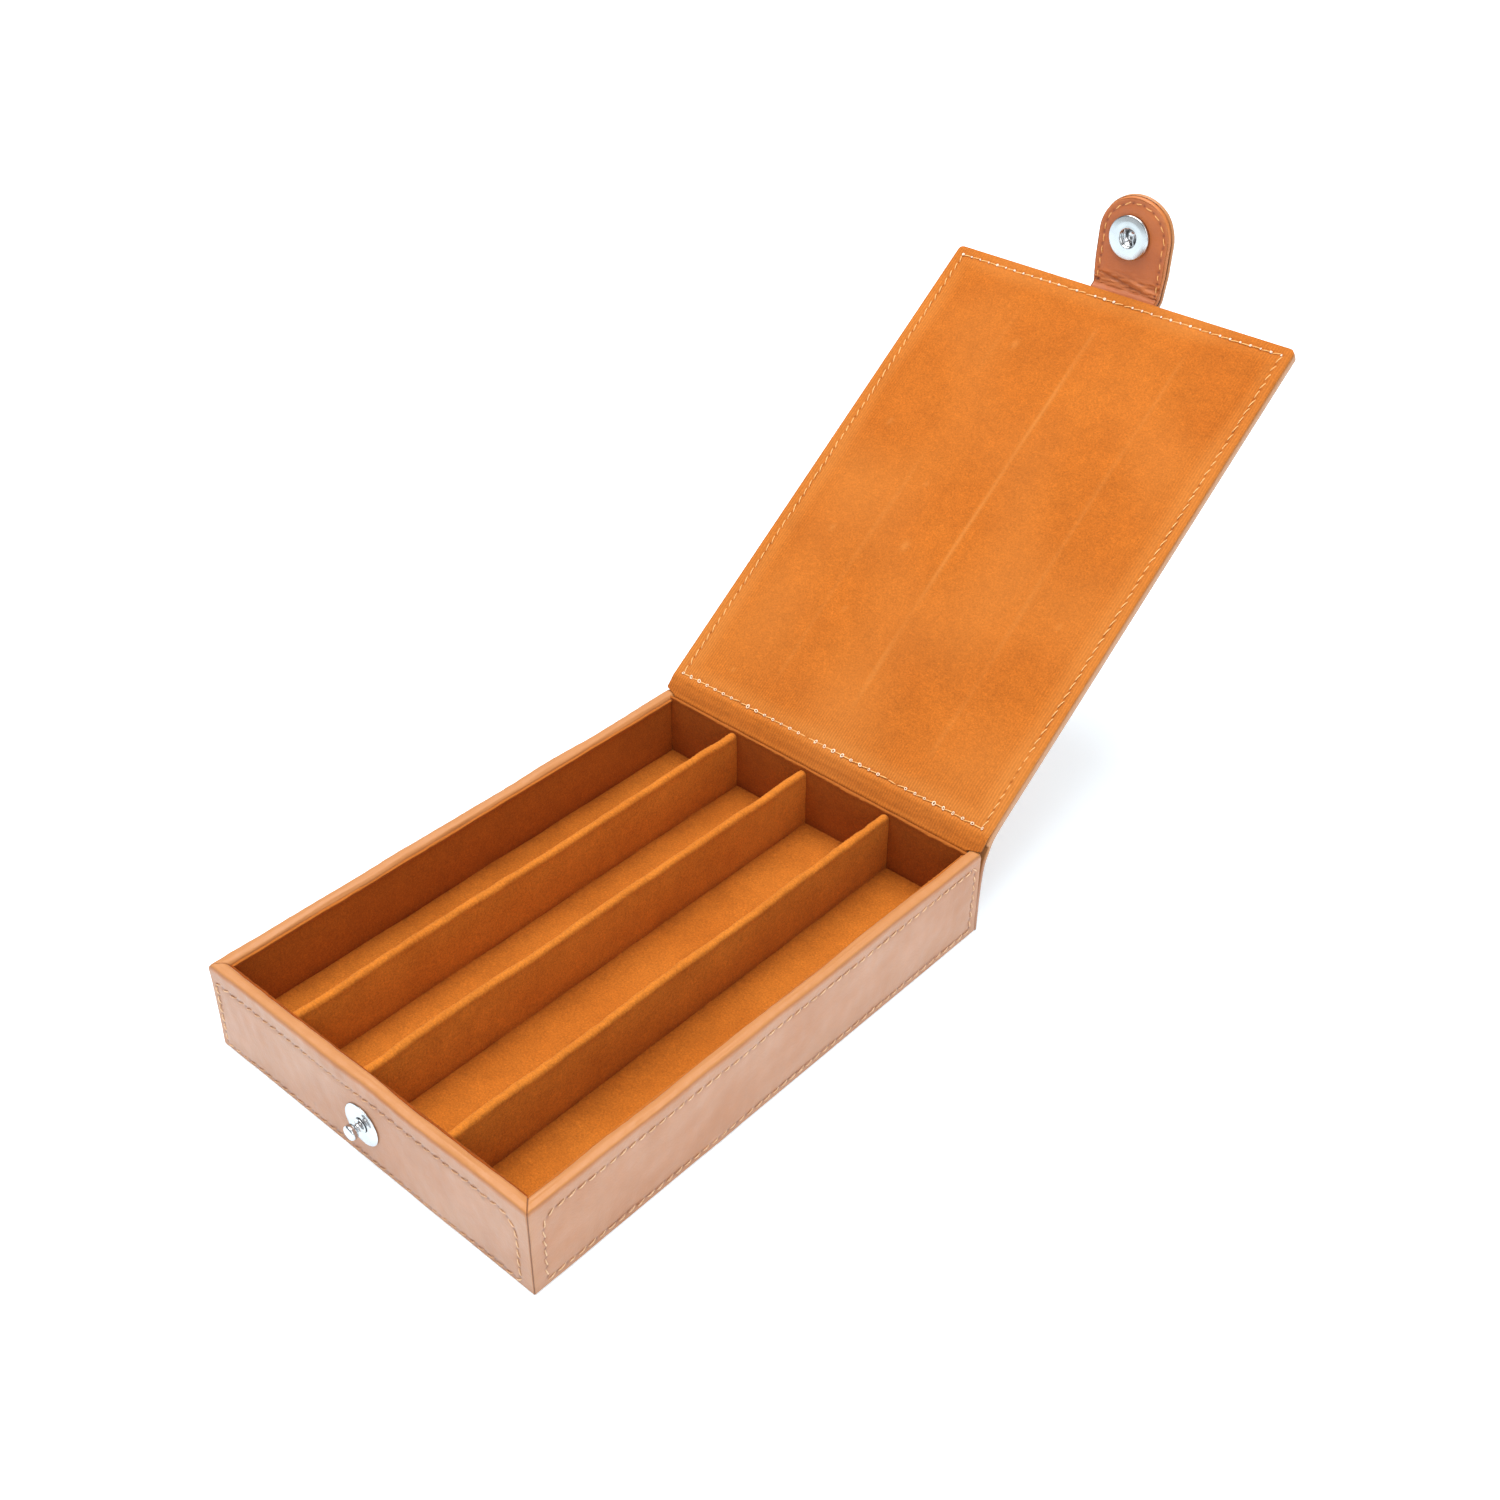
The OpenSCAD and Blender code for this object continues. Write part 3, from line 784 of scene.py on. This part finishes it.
def make_divider(index):
    """A divider's suede, folded over its board, with a soft ribbed top edge."""
    left, right = DIVIDERS[index - 1]
    middle, half = (left + right) / 2, (right - left) / 2
    bottom = FLOOR_Z - WRAP_TUCK
    seed = 70 + index
    fold = Path((-half, bottom), arc((0, DIVIDER_TOP - half), half, 180, 0, 17), (half, bottom))
    side = DIVIDER_TOP - half - bottom
    us = stations(0, (side - 2.5, 0.9), (fold.length - side + 2.5, 0.28), (fold.length, 0.9))
    reach = INNER_L + 0.1
    sheet = Sheet(steps(-reach, reach, 0.33), us, WRAP_T, rounding=0.26)
    y, u = sheet.x, sheet.u
    lift = unit(np.minimum(u, fold.length - u) / (DIVIDER_TOP - bottom))
    high = ease((lift - 0.84) / 0.14)
    fuzz = np.random.default_rng(seed).normal(0, 1, len(y))
    ribs = np.sin(2 * math.pi * y / WRAP_RIB_PITCH + 1.6 * ripple(y, u, 9, seed + 3))
    swell = high * (0.10 + 0.045 * ribs + 0.03 * fuzz + 0.07 * ripple(y, u, 7, seed + 1))
    swell = swell + 0.05 * ripple(y, u, 17, seed + 5)
    x, z = fold.at(u, sheet.z + np.where(sheet.face == 1, swell, 0))
    to_end = reach - np.abs(y)
    tip = unit(1 - to_end / 1.5) ** 2
    sway = 0.34 * ripple(y, 0, 70, seed + 2) * lift**2 * ease(to_end / 18)
    z = z + high * (0.12 * ripple(y, 0, 18, seed + 4) - 0.35 * tip)
    # Painted shade at the foot, down the lower sides and in the notched ends, and a slight darkening of the
    # top; the paler top and rib crests are partly wear, partly painted highlight
    worn = (0.16 + 0.20 * ribs) * high * (sheet.face >= 0)
    shade = unit(0.40 * bell(lift, 0.11) + 0.8 * tip * high + 0.10 * (1 - lift) + 0.12 * high)
    piece = make_piece(f"divider_suede_{index}", np.column_stack([middle + x + sway, y, z]), sheet.faces,
                       PALE_LIT_SUEDE, "suede", worn=worn, seam=shade)
    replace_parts(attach(piece, "tray"), f"divider_suede_{index}")


for divider in (1, 2, 3):
    make_divider(divider)


# ---- lid, hinge and back
def lid_point(d, n):
    """A point of the lid's frame as (y, z) in the case's frame."""
    c, s = math.cos(LID_RISE), math.sin(LID_RISE)
    return np.array([HINGE[0] + d * c - n * s, HINGE[1] + d * s + n * c])


def soften(points, times=3):
    """Cuts the corners of a line again and again, which leaves a smooth curve between the same ends."""
    for _ in range(times):
        near, far = points[:-1], points[1:]
        cut = np.stack([0.75 * near + 0.25 * far, 0.25 * near + 0.75 * far], axis=1).reshape(-1, 2)
        points = np.concatenate([points[:1], cut[1:-1], points[-1:]])
    return points


CORNER_R = 1.6


def round_far_corners(x, u, end):
    """Rounds a sheet's two corners at length end along it."""
    ahead = unit((u - end + CORNER_R) / CORNER_R)
    aside = unit((np.abs(x) - HALF_W + CORNER_R) / CORNER_R)
    return (x - np.sign(x) * CORNER_R * aside * (1 - np.sqrt(1 - ahead**2 / 2)),
            u - CORNER_R * ahead * (1 - np.sqrt(1 - aside**2 / 2)))


# The leather stands a little proud of the board, steps up within TURN_EDGE where it is turned round the
# board's sides, and folds outwards behind the hinge, where it is slack up to HINGE_SLACK along the lid
PROUD = 0.4
TURN_EDGE = 0.12
COVER_N = LID_OUTER - PROUD
HINGE_SLACK = 9.0
slack = chain((HALF_L, 9), (HALF_L + 0.2, 15), (HALF_L + 0.8, 21), (HALF_L + 2.3, 24.2),
              (HALF_L + 3.8, 27.4), lid_point(HINGE_SLACK, COVER_N))
COVER_PATH = Path((HALF_L, 0), soften(slack), lid_point(LID_END, COVER_N), left=False)
COVER_LID_U = COVER_PATH.length - (LID_END - LID_START)

RIDGE_Y = HALF_L - WALL + SUEDE_T + 0.15
knuckle = lid_point(LID_START + 0.4, LID_INNER)
LINING_PATH = Path(
    (RIDGE_Y, TRAY_H - 1.1), (RIDGE_Y, TRAY_H - 0.5),
    arc((RIDGE_Y + 0.55, TRAY_H - 0.35), 0.55, 178, 138, 6),
    knuckle + (-1.0, -1.15), knuckle + (-0.45, -0.42), knuckle + (0.1, 0.12),
    lid_point(LID_START + 1.5, LID_INNER), lid_point(LID_END, LID_INNER))
LINING_LID_U = LINING_PATH.length - (LID_END - LID_START)


def lay_cover(x, u, z):
    x, u = round_far_corners(x, u, COVER_PATH.length)
    return np.stack([x, *COVER_PATH.at(u, z)], axis=-1)


def lay_lining(x, u, z):
    """The lid's suede narrows where it drops between the side rims onto the back wall."""
    x, u = round_far_corners(x, u, LINING_PATH.length)
    narrow = (HALF_W - INNER_W + 0.05) * (1 - ease((u - 0.9) / 1.4)) + 0.15
    return np.stack([x * (1 - narrow / HALF_W), *LINING_PATH.at(u, z)], axis=-1)


def make_cover():
    """The outer leather: one sheet up the back wall, round the hinge and over the lid."""
    turned = LEATHER_T + 0.15
    foot, end = COVER_LID_U, COVER_PATH.length
    seam = Seam(rounded_loop(-HALF_W + 3.0, HALF_W - 2.8, foot + 2.6, end - 2.8, (1, 1, 1, 1)), PITCH)
    back_seam = Seam(rounded_loop(-HALF_W + 3.0, HALF_W - 3.0, 1.8, BACK_LEATHER_TOP - 2.6, (1, 1, 1, 1)),
                     PITCH)
    inner_edge = HALF_W - turned
    ledge = [-inner_edge, TURN_EDGE - inner_edge, inner_edge - TURN_EDGE, inner_edge]
    xs = np.sort(np.concatenate([graded(-HALF_W, HALF_W, 0.5, 0.9, 7), ledge]))
    us = stations(0, (foot - 5, 0.6), (foot + 1, 0.3), (foot + 7, 0.55), (foot + 14, 0.5), (end - 7, 1.3),
                  (end, 0.5))

    def thickness(x, u):
        """The leather is turned up round the lid board on three sides."""
        rim = ease((np.abs(x) - (inner_edge - TURN_EDGE)) / TURN_EDGE)
        far = ease((u - (end - turned - 0.6)) / 0.6)
        on_lid = ease((u - foot + 0.6) / 0.6)
        return LEATHER_T + (PROUD + (LID_T - SUEDE_T - LEATHER_T) * np.maximum(rim, far)) * on_lid

    sheet = Sheet(xs, us, thickness, rounding=0.42)
    x, u, face = sheet.x, sheet.u, sheet.face
    groove, shade = sewn(x, u, face == 1, [seam, back_seam])
    hinge = bell(u - foot + 2.2, 3.0)
    fold = 0.09 * ripple(x * 0.10, u, 1.8, 83) * hinge
    swell = 0.12 * ripple(x, u, 45, 81) + 0.03 * ripple(x, u, 7, 82)
    z = sheet.z + np.where(face == 1, swell + fold - groove, 0)
    edge = bell(np.minimum(HALF_W - np.abs(x), end - u), 0.9)
    on_lid = ease((u - foot + 6) / 5)
    worn = unit(0.75 * edge * (0.2 + 0.8 * on_lid) + 0.4 * hinge)
    worn = np.where(face < 0, 0.7, worn)
    # Painted shade on the flesh side, seen in the notches at the hinge's corners, and on the back sheet's
    # cut edges in the gaps beside the side walls
    shade = unit(shade + 0.15 * (face < 0) + 0.35 * (face == 0) * (1 - on_lid))
    piece = make_piece("outer_cover", lay_cover(x, u, z), sheet.faces, TAN, "tan_leather",
                       seam=shade, worn=worn)
    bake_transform(piece)
    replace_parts(piece, "back_leather", "hinge_leather", "lid_leather")
    make_stitches("lid_outer_stitching", seam, lay_cover, "lid", OCHRE, "tan_leather", seed=84, slant=8)
    make_stitches("back_stitching", back_seam, lay_cover, "tray", OCHRE, "tan_leather", seed=85, slant=14)


# How far the dividers' marks on the lid lie to the right of the dividers, and how strong each one is
PRESS_SHIFT = 2.4
PRESS_STRENGTHS = (0.35, 1.0, 0.4)
SCUFFS = 9
LID_PITCH_ACROSS, LID_PITCH_ALONG = 3.05, 2.8


def divider_presses(x, u, lid_d):
    """The lines that the dividers' top edges press into the lid's suede."""
    presses = np.zeros(len(x))
    for position, (low, high) in enumerate(DIVIDERS):
        centre = (low + high) / 2 + PRESS_SHIFT + 0.4 * ripple(u, 0, 90, 96 + position)
        patchy = unit(0.6 + 0.65 * ripple(u, 0, 46, 100 + position))
        presses += PRESS_STRENGTHS[position] * bell(x - centre, 0.6) * patchy
    return presses * ease((lid_d - 9) / 8) * ease((LINING_PATH.length - u - 9) / 8)


def scuff_marks(x, u):
    random = np.random.default_rng(98)
    scuffs = np.zeros(len(x))
    for sx, su, size in zip(random.uniform(-45, 45, SCUFFS), random.uniform(12, 145, SCUFFS),
                            random.uniform(0.3, 1.1, SCUFFS)):
        scuffs += bell(x - sx, size) * bell(u - su, 1.5 * size)
    return scuffs


def make_lid_lining():
    """The suede inside the lid, sewn round its edge and running down over the back wall."""
    foot, end = LINING_LID_U, LINING_PATH.length
    low_u, high_u = foot + 1.9, end - 2.8
    left, right = -HALF_W + 2.9, HALF_W - 2.7
    bottom, top = (Seam(chain((left, at), (right, at)), LID_PITCH_ACROSS) for at in (low_u, high_u))
    left_seam, right_seam = (Seam(chain((at, low_u), (at, high_u)), LID_PITCH_ALONG)
                             for at in (left, right))
    us = stations(0, (foot + 5, 0.33), (foot + 12, 0.45), (end - 7, 1.0), (end, 0.45))
    sheet = Sheet(graded(-HALF_W, HALF_W, 0.45, 0.8, 6), us, SUEDE_T, rounding=0.3)
    x, u, face = sheet.x, sheet.u, sheet.face == 1
    groove, shade = sewn(x, u, face, [bottom, top, left_seam, right_seam], depth=0.17, width=0.9, dark=0.12)
    lid_d = u - foot
    on_lid = ease(lid_d / 2)
    strip = ease((u - 1.2) / 0.8) * (1 - ease((lid_d + 1.6) / 2.0))
    folds = (0.05 * np.sin(2 * math.pi * (u + 0.4 * ripple(x, 0, 38, 93)) / 3.1)
             + 0.02 * ripple(x * 0.05, u, 1.3, 94)) * strip
    presses = divider_presses(x, u, lid_d)
    swell = 0.13 * ripple(x, u, 42, 91) * on_lid
    fuzz = np.random.default_rng(97).normal(0, 1, len(x))
    z = sheet.z + np.where(face, swell + folds + 0.012 * fuzz - groove - 0.07 * presses, 0)
    gap = np.minimum.reduce([x - left, right - x, u - low_u, high_u - u])
    border = (1 - ease((gap - 1.0) / 5.0)) * on_lid
    bare = unit(0.42 * border + 0.14 * ripple(x, u, 38, 107) + 0.22 * (1 - lid_d / LID_END))
    worn = unit(bare + 0.75 * presses + 0.6 * scuff_marks(x, u)) * (sheet.face >= 0)
    # Painted shade: in the needle holes and seam grooves, and over the hinge strip, deepest where it drops
    # to the back wall
    shade = unit(0.7 * shade + 0.22 * strip * (1 - ease((u - 2) / 5)) + 0.05 * strip)
    nap_lines = unit(1 - ease((lid_d - 6) / 12) + 0.7 * ease((np.abs(x) - 40) / 9))
    piece = make_piece("lid_lining", lay_lining(x, u, z), sheet.faces, SUEDE, "suede",
                       seam=shade, worn=worn, ribs=0.45 * nap_lines)
    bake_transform(piece)
    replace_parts(piece, "lid_lining", "hinge_lining")

    def lay(x, u, h):
        return lay_lining(x, u, h - 0.02)

    for name, seam, slant in (
            ("lid_near_stitching", bottom, 6), ("lid_far_stitching", top, 6),
            ("lid_left_stitching", left_seam, 14), ("lid_right_stitching", right_seam, -14)):
        make_stitches(name, seam, lay, "lid", GOLDEN, "suede", radius=0.16, reach=0.44, rise=0.12,
                      slant=slant, seed=101 + len(name), wander=0.05)
    for name, seam, material, radius, bore, seed in (
            ("lid_near_knots", bottom, BUFF, 0.62, 0.46, 111),
            ("lid_far_knots", top, PALE, 0.42, 0.16, 112)):
        keep = np.random.default_rng(seed).random(len(seam.holes)) < 0.9
        make_knots(name, seam.holes[keep], lay, "lid", material, "suede", radius, bore, seed)


make_cover()
make_lid_lining()


# ---- strap
# How far the strap's root goes into the lid, how far the strap lies to the left, and the hole for the snap
TUCK = 6.0
STRAP_SHIFT = 0.4
SNAP_HOLE_HALF = 2.9
STRAP_SEAM_INSET = 2.2
STRAP_PITCH = 3.3
root_bend = arc((FOLD_D, FOLD_N), -STRAP_MID_B, -90, math.degrees(STRAP_FOLD) - 90, 16)
strap_way = np.array([math.cos(STRAP_FOLD), math.sin(STRAP_FOLD)])
STRAP_PATH = Path((FOLD_D - TUCK, FOLD_N + STRAP_MID_B), root_bend, root_bend[-1] + strap_way * STRAP_L)
STRAP_A0 = STRAP_PATH.length - STRAP_L
TIP_U = STRAP_PATH.length - STRAP_R


def lay_strap(x, u, z):
    """Lays a strap point, measured from the middle of the strap's thickness, in the case's frame."""
    inside = 1 - ease((u - (TUCK - 2.4)) / 1.6)
    d, n = STRAP_PATH.at(u, z * (1 - 0.62 * inside) + 0.4 * inside)
    return np.stack([STRAP_X - STRAP_SHIFT + x, *lid_point(d, n)], axis=-1)


def round_tip(x, u, radius):
    """Bends the far end of a flat strip, half-width radius, into a half circle."""
    across, ahead = x / radius, unit((u - TIP_U) / radius)
    return (np.where(u > TIP_U, x * np.sqrt(1 - ahead**2 / 2), x),
            np.where(u > TIP_U, TIP_U + radius * ahead * np.sqrt(unit(1 - across**2 / 2)), u))


def make_strap_layer(name, half, z_top, z_low, material, slot, seam, up, seed, creased):
    """One leather layer of the strap. up is 1 where its visible face is the inner one, otherwise -1."""
    us = stations(0, (TUCK - 2.5, 0.7), (STRAP_A0 + 7, 0.22), (STRAP_A0 + 10, 0.4),
                  (TIP_U + half - 3, 0.5), (TIP_U + half, 0.4))
    hole_x, hole_u = CLASP_X - STRAP_X + STRAP_SHIFT, STRAP_A0 + CLASP_A
    hole = [middle + way * SNAP_HOLE_HALF for middle in (hole_x, hole_u) for way in (-1, 1)]
    sheet = Sheet(graded(-half, half, 0.3, 0.6, 3), us, z_top - z_low, rounding=0.5, hole=hole)
    x, u = round_tip(sheet.x, sheet.u, half)
    x = x * (1 - 0.05 * (1 - ease((u - TUCK) / 9)))
    face = sheet.face == up
    groove, shade = sewn(x, u, face, [seam], depth=0.18)
    root = bell(u - STRAP_A0 - 1.2, 2.6) * creased
    waves = ripple(x * 0.12, u + 0.04 * x, 2.0, seed) + 0.6 * ripple(x * 0.3, u - 0.07 * x, 1.2, seed + 1)
    rough = 0.28 * waves * root + 0.06 * ripple(x, u, 9, seed + 2)
    z = sheet.z + z_top + up * np.where(face, rough - groove, 0)
    rim = half - np.where(u > TIP_U, np.hypot(x, u - TIP_U), np.abs(x))
    worn = unit(0.8 * bell(rim, 0.7) + 0.3 * root)
    # Painted shade in the troughs of the root's creases, added to the painted shade of the needle holes
    shade = unit(shade + 0.42 * root * unit(-waves))
    return make_piece(name, lay_strap(x, u, z), sheet.faces, material, slot, seam=shade, worn=worn)


def strap_point(a, b):
    """A point of the strap's frame as (y, z) in the case's frame."""
    c, s = math.cos(STRAP_FOLD), math.sin(STRAP_FOLD)
    return lid_point(FOLD_D + a * c - b * s, FOLD_N + a * s + b * c)


def make_strap():
    """The strap's two layers, sewn together, and bending where they leave the lid."""
    radius = STRAP_R - STRAP_SEAM_INSET
    foot = STRAP_A0 + 0.6
    seam = Seam(chain((-radius, foot), arc((0, TIP_U), radius, 180, 0, 30), (radius, foot)), STRAP_PITCH)
    inner = make_strap_layer("strap_inner", STRAP_R - STRAP_INSET, STRAP_LAYER, -0.05, BROWN,
                             "brown_leather", seam, up=1, seed=121, creased=1.0)
    outer = make_strap_layer("strap_outer", STRAP_R, -0.05, -STRAP_LAYER, TAN, "tan_leather", seam,
                             up=-1, seed=131, creased=0.6)
    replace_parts(inner, "strap_inner", "strap_root")
    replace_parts(outer, "strap_outer")
    for name, up, slot, radius, reach, rise, seed in (
            ("strap_inner_stitching", 1, "brown_leather", 0.15, 0.29, 0.12, 141),
            ("strap_outer_stitching", -1, "tan_leather", 0.17, 0.36, 0.14, 142)):
        make_stitches(name, seam, lambda x, u, h: lay_strap(x, u, up * (STRAP_LAYER + h - 0.08)), "strap",
                      GOLDEN, slot, radius, reach, rise, slant=8, seed=seed)
    # The layers' turn, from the lid's edge to a little way up the strap, is laid by lay_strap; here their
    # transforms are baked
    for piece in (inner, outer):
        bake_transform(piece)


make_strap()


# ---- press stud
def frame_matrix(x, y, z, tilt):
    """A frame at a point in millimetres, turned about X by tilt radians."""
    return Matrix.Translation((x, y, z)) @ Matrix.Rotation(tilt, 4, "X")


STUD_FRAME = frame_matrix(CLASP_X, -HALF_L, STUD_Z, math.pi / 2)
SOCKET_FRAME = frame_matrix(CLASP_X, *strap_point(CLASP_A, STRAP_MID_B + STRAP_LAYER),
                            LID_RISE + STRAP_FOLD)


def bead(r, z, size, start, end, count=8):
    """A rounded corner of a turned profile."""
    return [tuple(p) for p in arc((r, z), size, start, end, count)]


def make_press_stud():
    plate = ([(1.42, 0.0), (PLATE_R - 0.25, 0.0)] + bead(PLATE_R - 0.22, 0.2, 0.2, -60, 75)
             + [(PLATE_R - 1.2, 0.5), (3.4, 0.5), (2.5, 0.46), (1.42, 0.46)])
    make_lathe("stud_plate", plate, STUD_FRAME, NICKEL, "tray")
    neck = [(1.45, 0.96), (1.12, 1.12), (1.0, 1.32), (0.98, 1.65), (1.0, 1.95), (1.18, 2.2)]
    head = bead(1.6, 2.62, 0.3, -80, -10) + [(1.95, 2.9)] + bead(1.35, 3.45, 0.6, 0, 70) + [(0.001, 4.1)]
    post = [(0.001, -2.4), (1.4, -2.4), (1.4, 0.4)] + bead(1.75, 0.62, 0.2, -90, 80) + neck + head
    make_lathe("stud_post", post, STUD_FRAME, NICKEL, "tray", closed=False)
    washer = [(0.001, -2.8), (3.3, -2.8)] + bead(3.3, -2.62, 0.18, -90, 90, 6) + [(0.001, -2.44)]
    make_lathe("stud_washer", washer, STUD_FRAME, NICKEL, "tray", closed=False)


def make_socket():
    """The ring on the strap's inner face, and the cap whose barrel comes through from the outer one."""
    low, high = box_mm("snap_socket")
    outer_r = (high[0] - low[0]) / 2
    ring = ([(2.72, 0.0), (outer_r - 0.1, 0.0)] + bead(outer_r - 0.5, 0.75, 0.5, -30, 78, 10)
            + [(outer_r - 1.6, 1.33), (4.4, 1.38), (3.5, 1.30)] + bead(2.92, 1.08, 0.30, 75, 250, 10)
            + [(3.15, 0.84), (4.2, 0.88), (outer_r - 0.8, 0.8), (outer_r - 0.55, 0.35), (2.72, 0.3)])
    make_lathe("snap_socket", ring, SOCKET_FRAME, DULL_NICKEL, "strap")
    depth = -2 * STRAP_LAYER
    dome = [(outer_r * t, depth - 1.2 + 0.75 * t**2.2) for t in (0.001, 0.2, 0.4, 0.6, 0.75, 0.88, 0.95)]
    cap = (dome + bead(outer_r - 0.2, depth - 0.22, 0.2, -30, 90, 7)
           + [(2.65, depth - 0.02), (2.65, 0.28), (2.3, 0.28), (2.3, depth + 0.2), (0.001, depth + 0.2)])
    make_lathe("snap_cap", cap, SOCKET_FRAME, NICKEL, "strap", closed=False)


def make_spring():
    """Two bowed wires across the socket, joined into one open loop at the far end."""
    radius, height, sides = 0.24, 0.54, 10
    side = [(-2.4, -4.2), (-1.95, -3.4), (-1.75, -1.9), (-1.35, -0.7), (-1.3, 0.0), (-1.35, 0.7),
            (-1.75, 1.9), (-1.95, 3.4)]
    line = np.array(side + [(-1.5, 4.35), (0.0, 4.75), (1.5, 4.35)] + [(-x, y) for x, y in reversed(side)])
    fine = np.empty((2 * len(line) - 1, 2))
    fine[::2] = line
    fine[1::2] = (line[:-1] + line[1:]) / 2
    smooth = fine.copy()
    smooth[1:-1] = (fine[:-2] + 2 * fine[1:-1] + fine[2:]) / 4
    tangent = np.gradient(smooth, axis=0)
    tangent /= np.linalg.norm(tangent, axis=1)[:, None]
    points = [(x - ty * radius * math.cos(t), y + tx * radius * math.cos(t), height + radius * math.sin(t))
              for (x, y), (tx, ty) in zip(smooth, tangent) for t in full_turn(sides)]
    faces = tube_faces(len(smooth), sides) + end_caps(len(smooth), sides)
    piece = make_piece("snap_spring", in_frame(points, SOCKET_FRAME), faces, SPRING, "spring_steel")
    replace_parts(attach(piece, "strap"), "snap_spring")


make_press_stud()
make_socket()
make_spring()


# ---- base, boards and pad
def make_base():
    """The underside's leather, let in between the walls."""
    low, high = box_mm("base_leather")
    sheet = Sheet(graded(low[0], high[0], 0.6, 2.0, 6), graded(low[1], high[1], 0.6, 2.0, 6), LEATHER_T,
                  rounding=0.35)
    gap = np.minimum(high[0] - np.abs(sheet.x), high[1] - np.abs(sheet.u))
    z = sheet.z + np.where(sheet.face == -1, 0.10 * (1 - ease(gap / 4)), 0)
    worn = 0.5 * (1 - ease(gap / 3))
    points = np.stack([sheet.x, sheet.u, LEATHER_T + z], axis=-1)
    piece = make_piece("base_leather", points, sheet.faces, TAN, "tan_leather", worn=worn)
    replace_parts(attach(piece, "tray"), "base_leather")


make_base()
boards = ["base_board", "front_board", "back_board", "left_board", "right_board", "lid_board",
          "divider_core_1", "divider_core_2", "divider_core_3"]
for name in boards + ["floor_pad"]:
    frame["nodes"][name].data.materials.clear()
    frame["nodes"][name].data.materials.append(FOAM if name == "floor_pad" else BOARD)


# ---- floor, light and camera
FLOOR_REACH = 6.0
FLOOR_DROP = 0.0002
SCENE_MIDDLE = (0.0, 0.05, 0.03)
# The sky's brightness by the height of its direction, which is 0 at the horizon and 1 overhead
SKY = [(0.12, 1.1), (0.26, 0.22), (0.46, 0.22), (0.75, 1.0)]
SKY_STRENGTH = 0.75
CAMERA_PLACE = (0.25197, -0.23206, 0.32335)
CAMERA_DEGREES = (41.74, 36.28, 0.4)
LENS_MM = 44.52
SENSOR_MM = 36


def make_stage():
    """White paper that glows a little, so that it stays nearly white in the case's shadow."""
    mesh = bpy.data.meshes.new("studio_floor")
    corners = [(FLOOR_REACH * x, FLOOR_REACH * y, 0) for x, y in ((-1, -1), (1, -1), (1, 1), (-1, 1))]
    mesh.from_pydata(corners, [], [(0, 1, 2, 3)])
    paper = bpy.data.materials.new("paper")
    paper.use_nodes = True
    shader = paper.node_tree.nodes["Principled BSDF"]
    shader.inputs["Base Color"].default_value = (0.78, 0.92, 1.0, 1)
    shader.inputs["Roughness"].default_value = 0.9
    shader.inputs["Specular IOR Level"].default_value = 0.1
    shader.inputs["Emission Color"].default_value = (0.94, 0.97, 1.0, 1)
    shader.inputs["Emission Strength"].default_value = 0.42
    mesh.materials.append(paper)
    floor = add_object("studio_floor", mesh)
    floor.location.z = -FLOOR_DROP


def add_area_light(name, place, size, power, tone):
    """A square light that shines at the middle of the case."""
    data = bpy.data.lights.new(name, "AREA")
    data.shape = "SQUARE"
    data.size = size
    data.energy = power
    data.color = tone
    light = add_object(name, data)
    light.location = place
    aim = Vector(SCENE_MIDDLE) - Vector(place)
    light.rotation_euler = aim.to_track_quat("-Z", "Y").to_euler()


def make_lights():
    add_area_light("overhead", (-0.20, 0.05, 1.3), 1.2, 24, (1.0, 0.985, 0.965))
    add_area_light("window", (1.15, -0.65, 0.75), 1.0, 7, (0.94, 0.97, 1.0))
    world = bpy.data.worlds.new("studio")
    world.use_nodes = True
    tree = world.node_tree
    place = tree.nodes.new("ShaderNodeTexCoord")
    parts = tree.nodes.new("ShaderNodeSeparateXYZ")
    sky = tree.nodes.new("ShaderNodeValToRGB")
    fill_ramp(sky.color_ramp, [(height, (0.93 * tone, 0.965 * tone, tone)) for height, tone in SKY])
    tree.links.new(place.outputs["Generated"], parts.inputs["Vector"])
    tree.links.new(parts.outputs["Z"], sky.inputs["Fac"])
    tree.links.new(sky.outputs["Color"], tree.nodes["Background"].inputs["Color"])
    tree.nodes["Background"].inputs["Strength"].default_value = SKY_STRENGTH
    bpy.context.scene.world = world
    bpy.context.scene.view_settings.view_transform = "Standard"


def make_camera():
    """The camera stands in front of the case and to its right, and looks down at it."""
    azimuth, elevation, roll = (math.radians(v) for v in CAMERA_DEGREES)
    turn = (Matrix.Rotation(azimuth, 4, "Z") @ Matrix.Rotation(math.pi / 2 - elevation, 4, "X")
            @ Matrix.Rotation(roll, 4, "Z"))
    data = bpy.data.cameras.new("camera")
    data.sensor_width = SENSOR_MM
    data.lens = LENS_MM
    data.clip_start = 0.01
    camera = add_object("camera", data)
    camera.matrix_world = Matrix.Translation(CAMERA_PLACE) @ turn
    bpy.context.scene.camera = camera


make_stage()
make_lights()
make_camera()
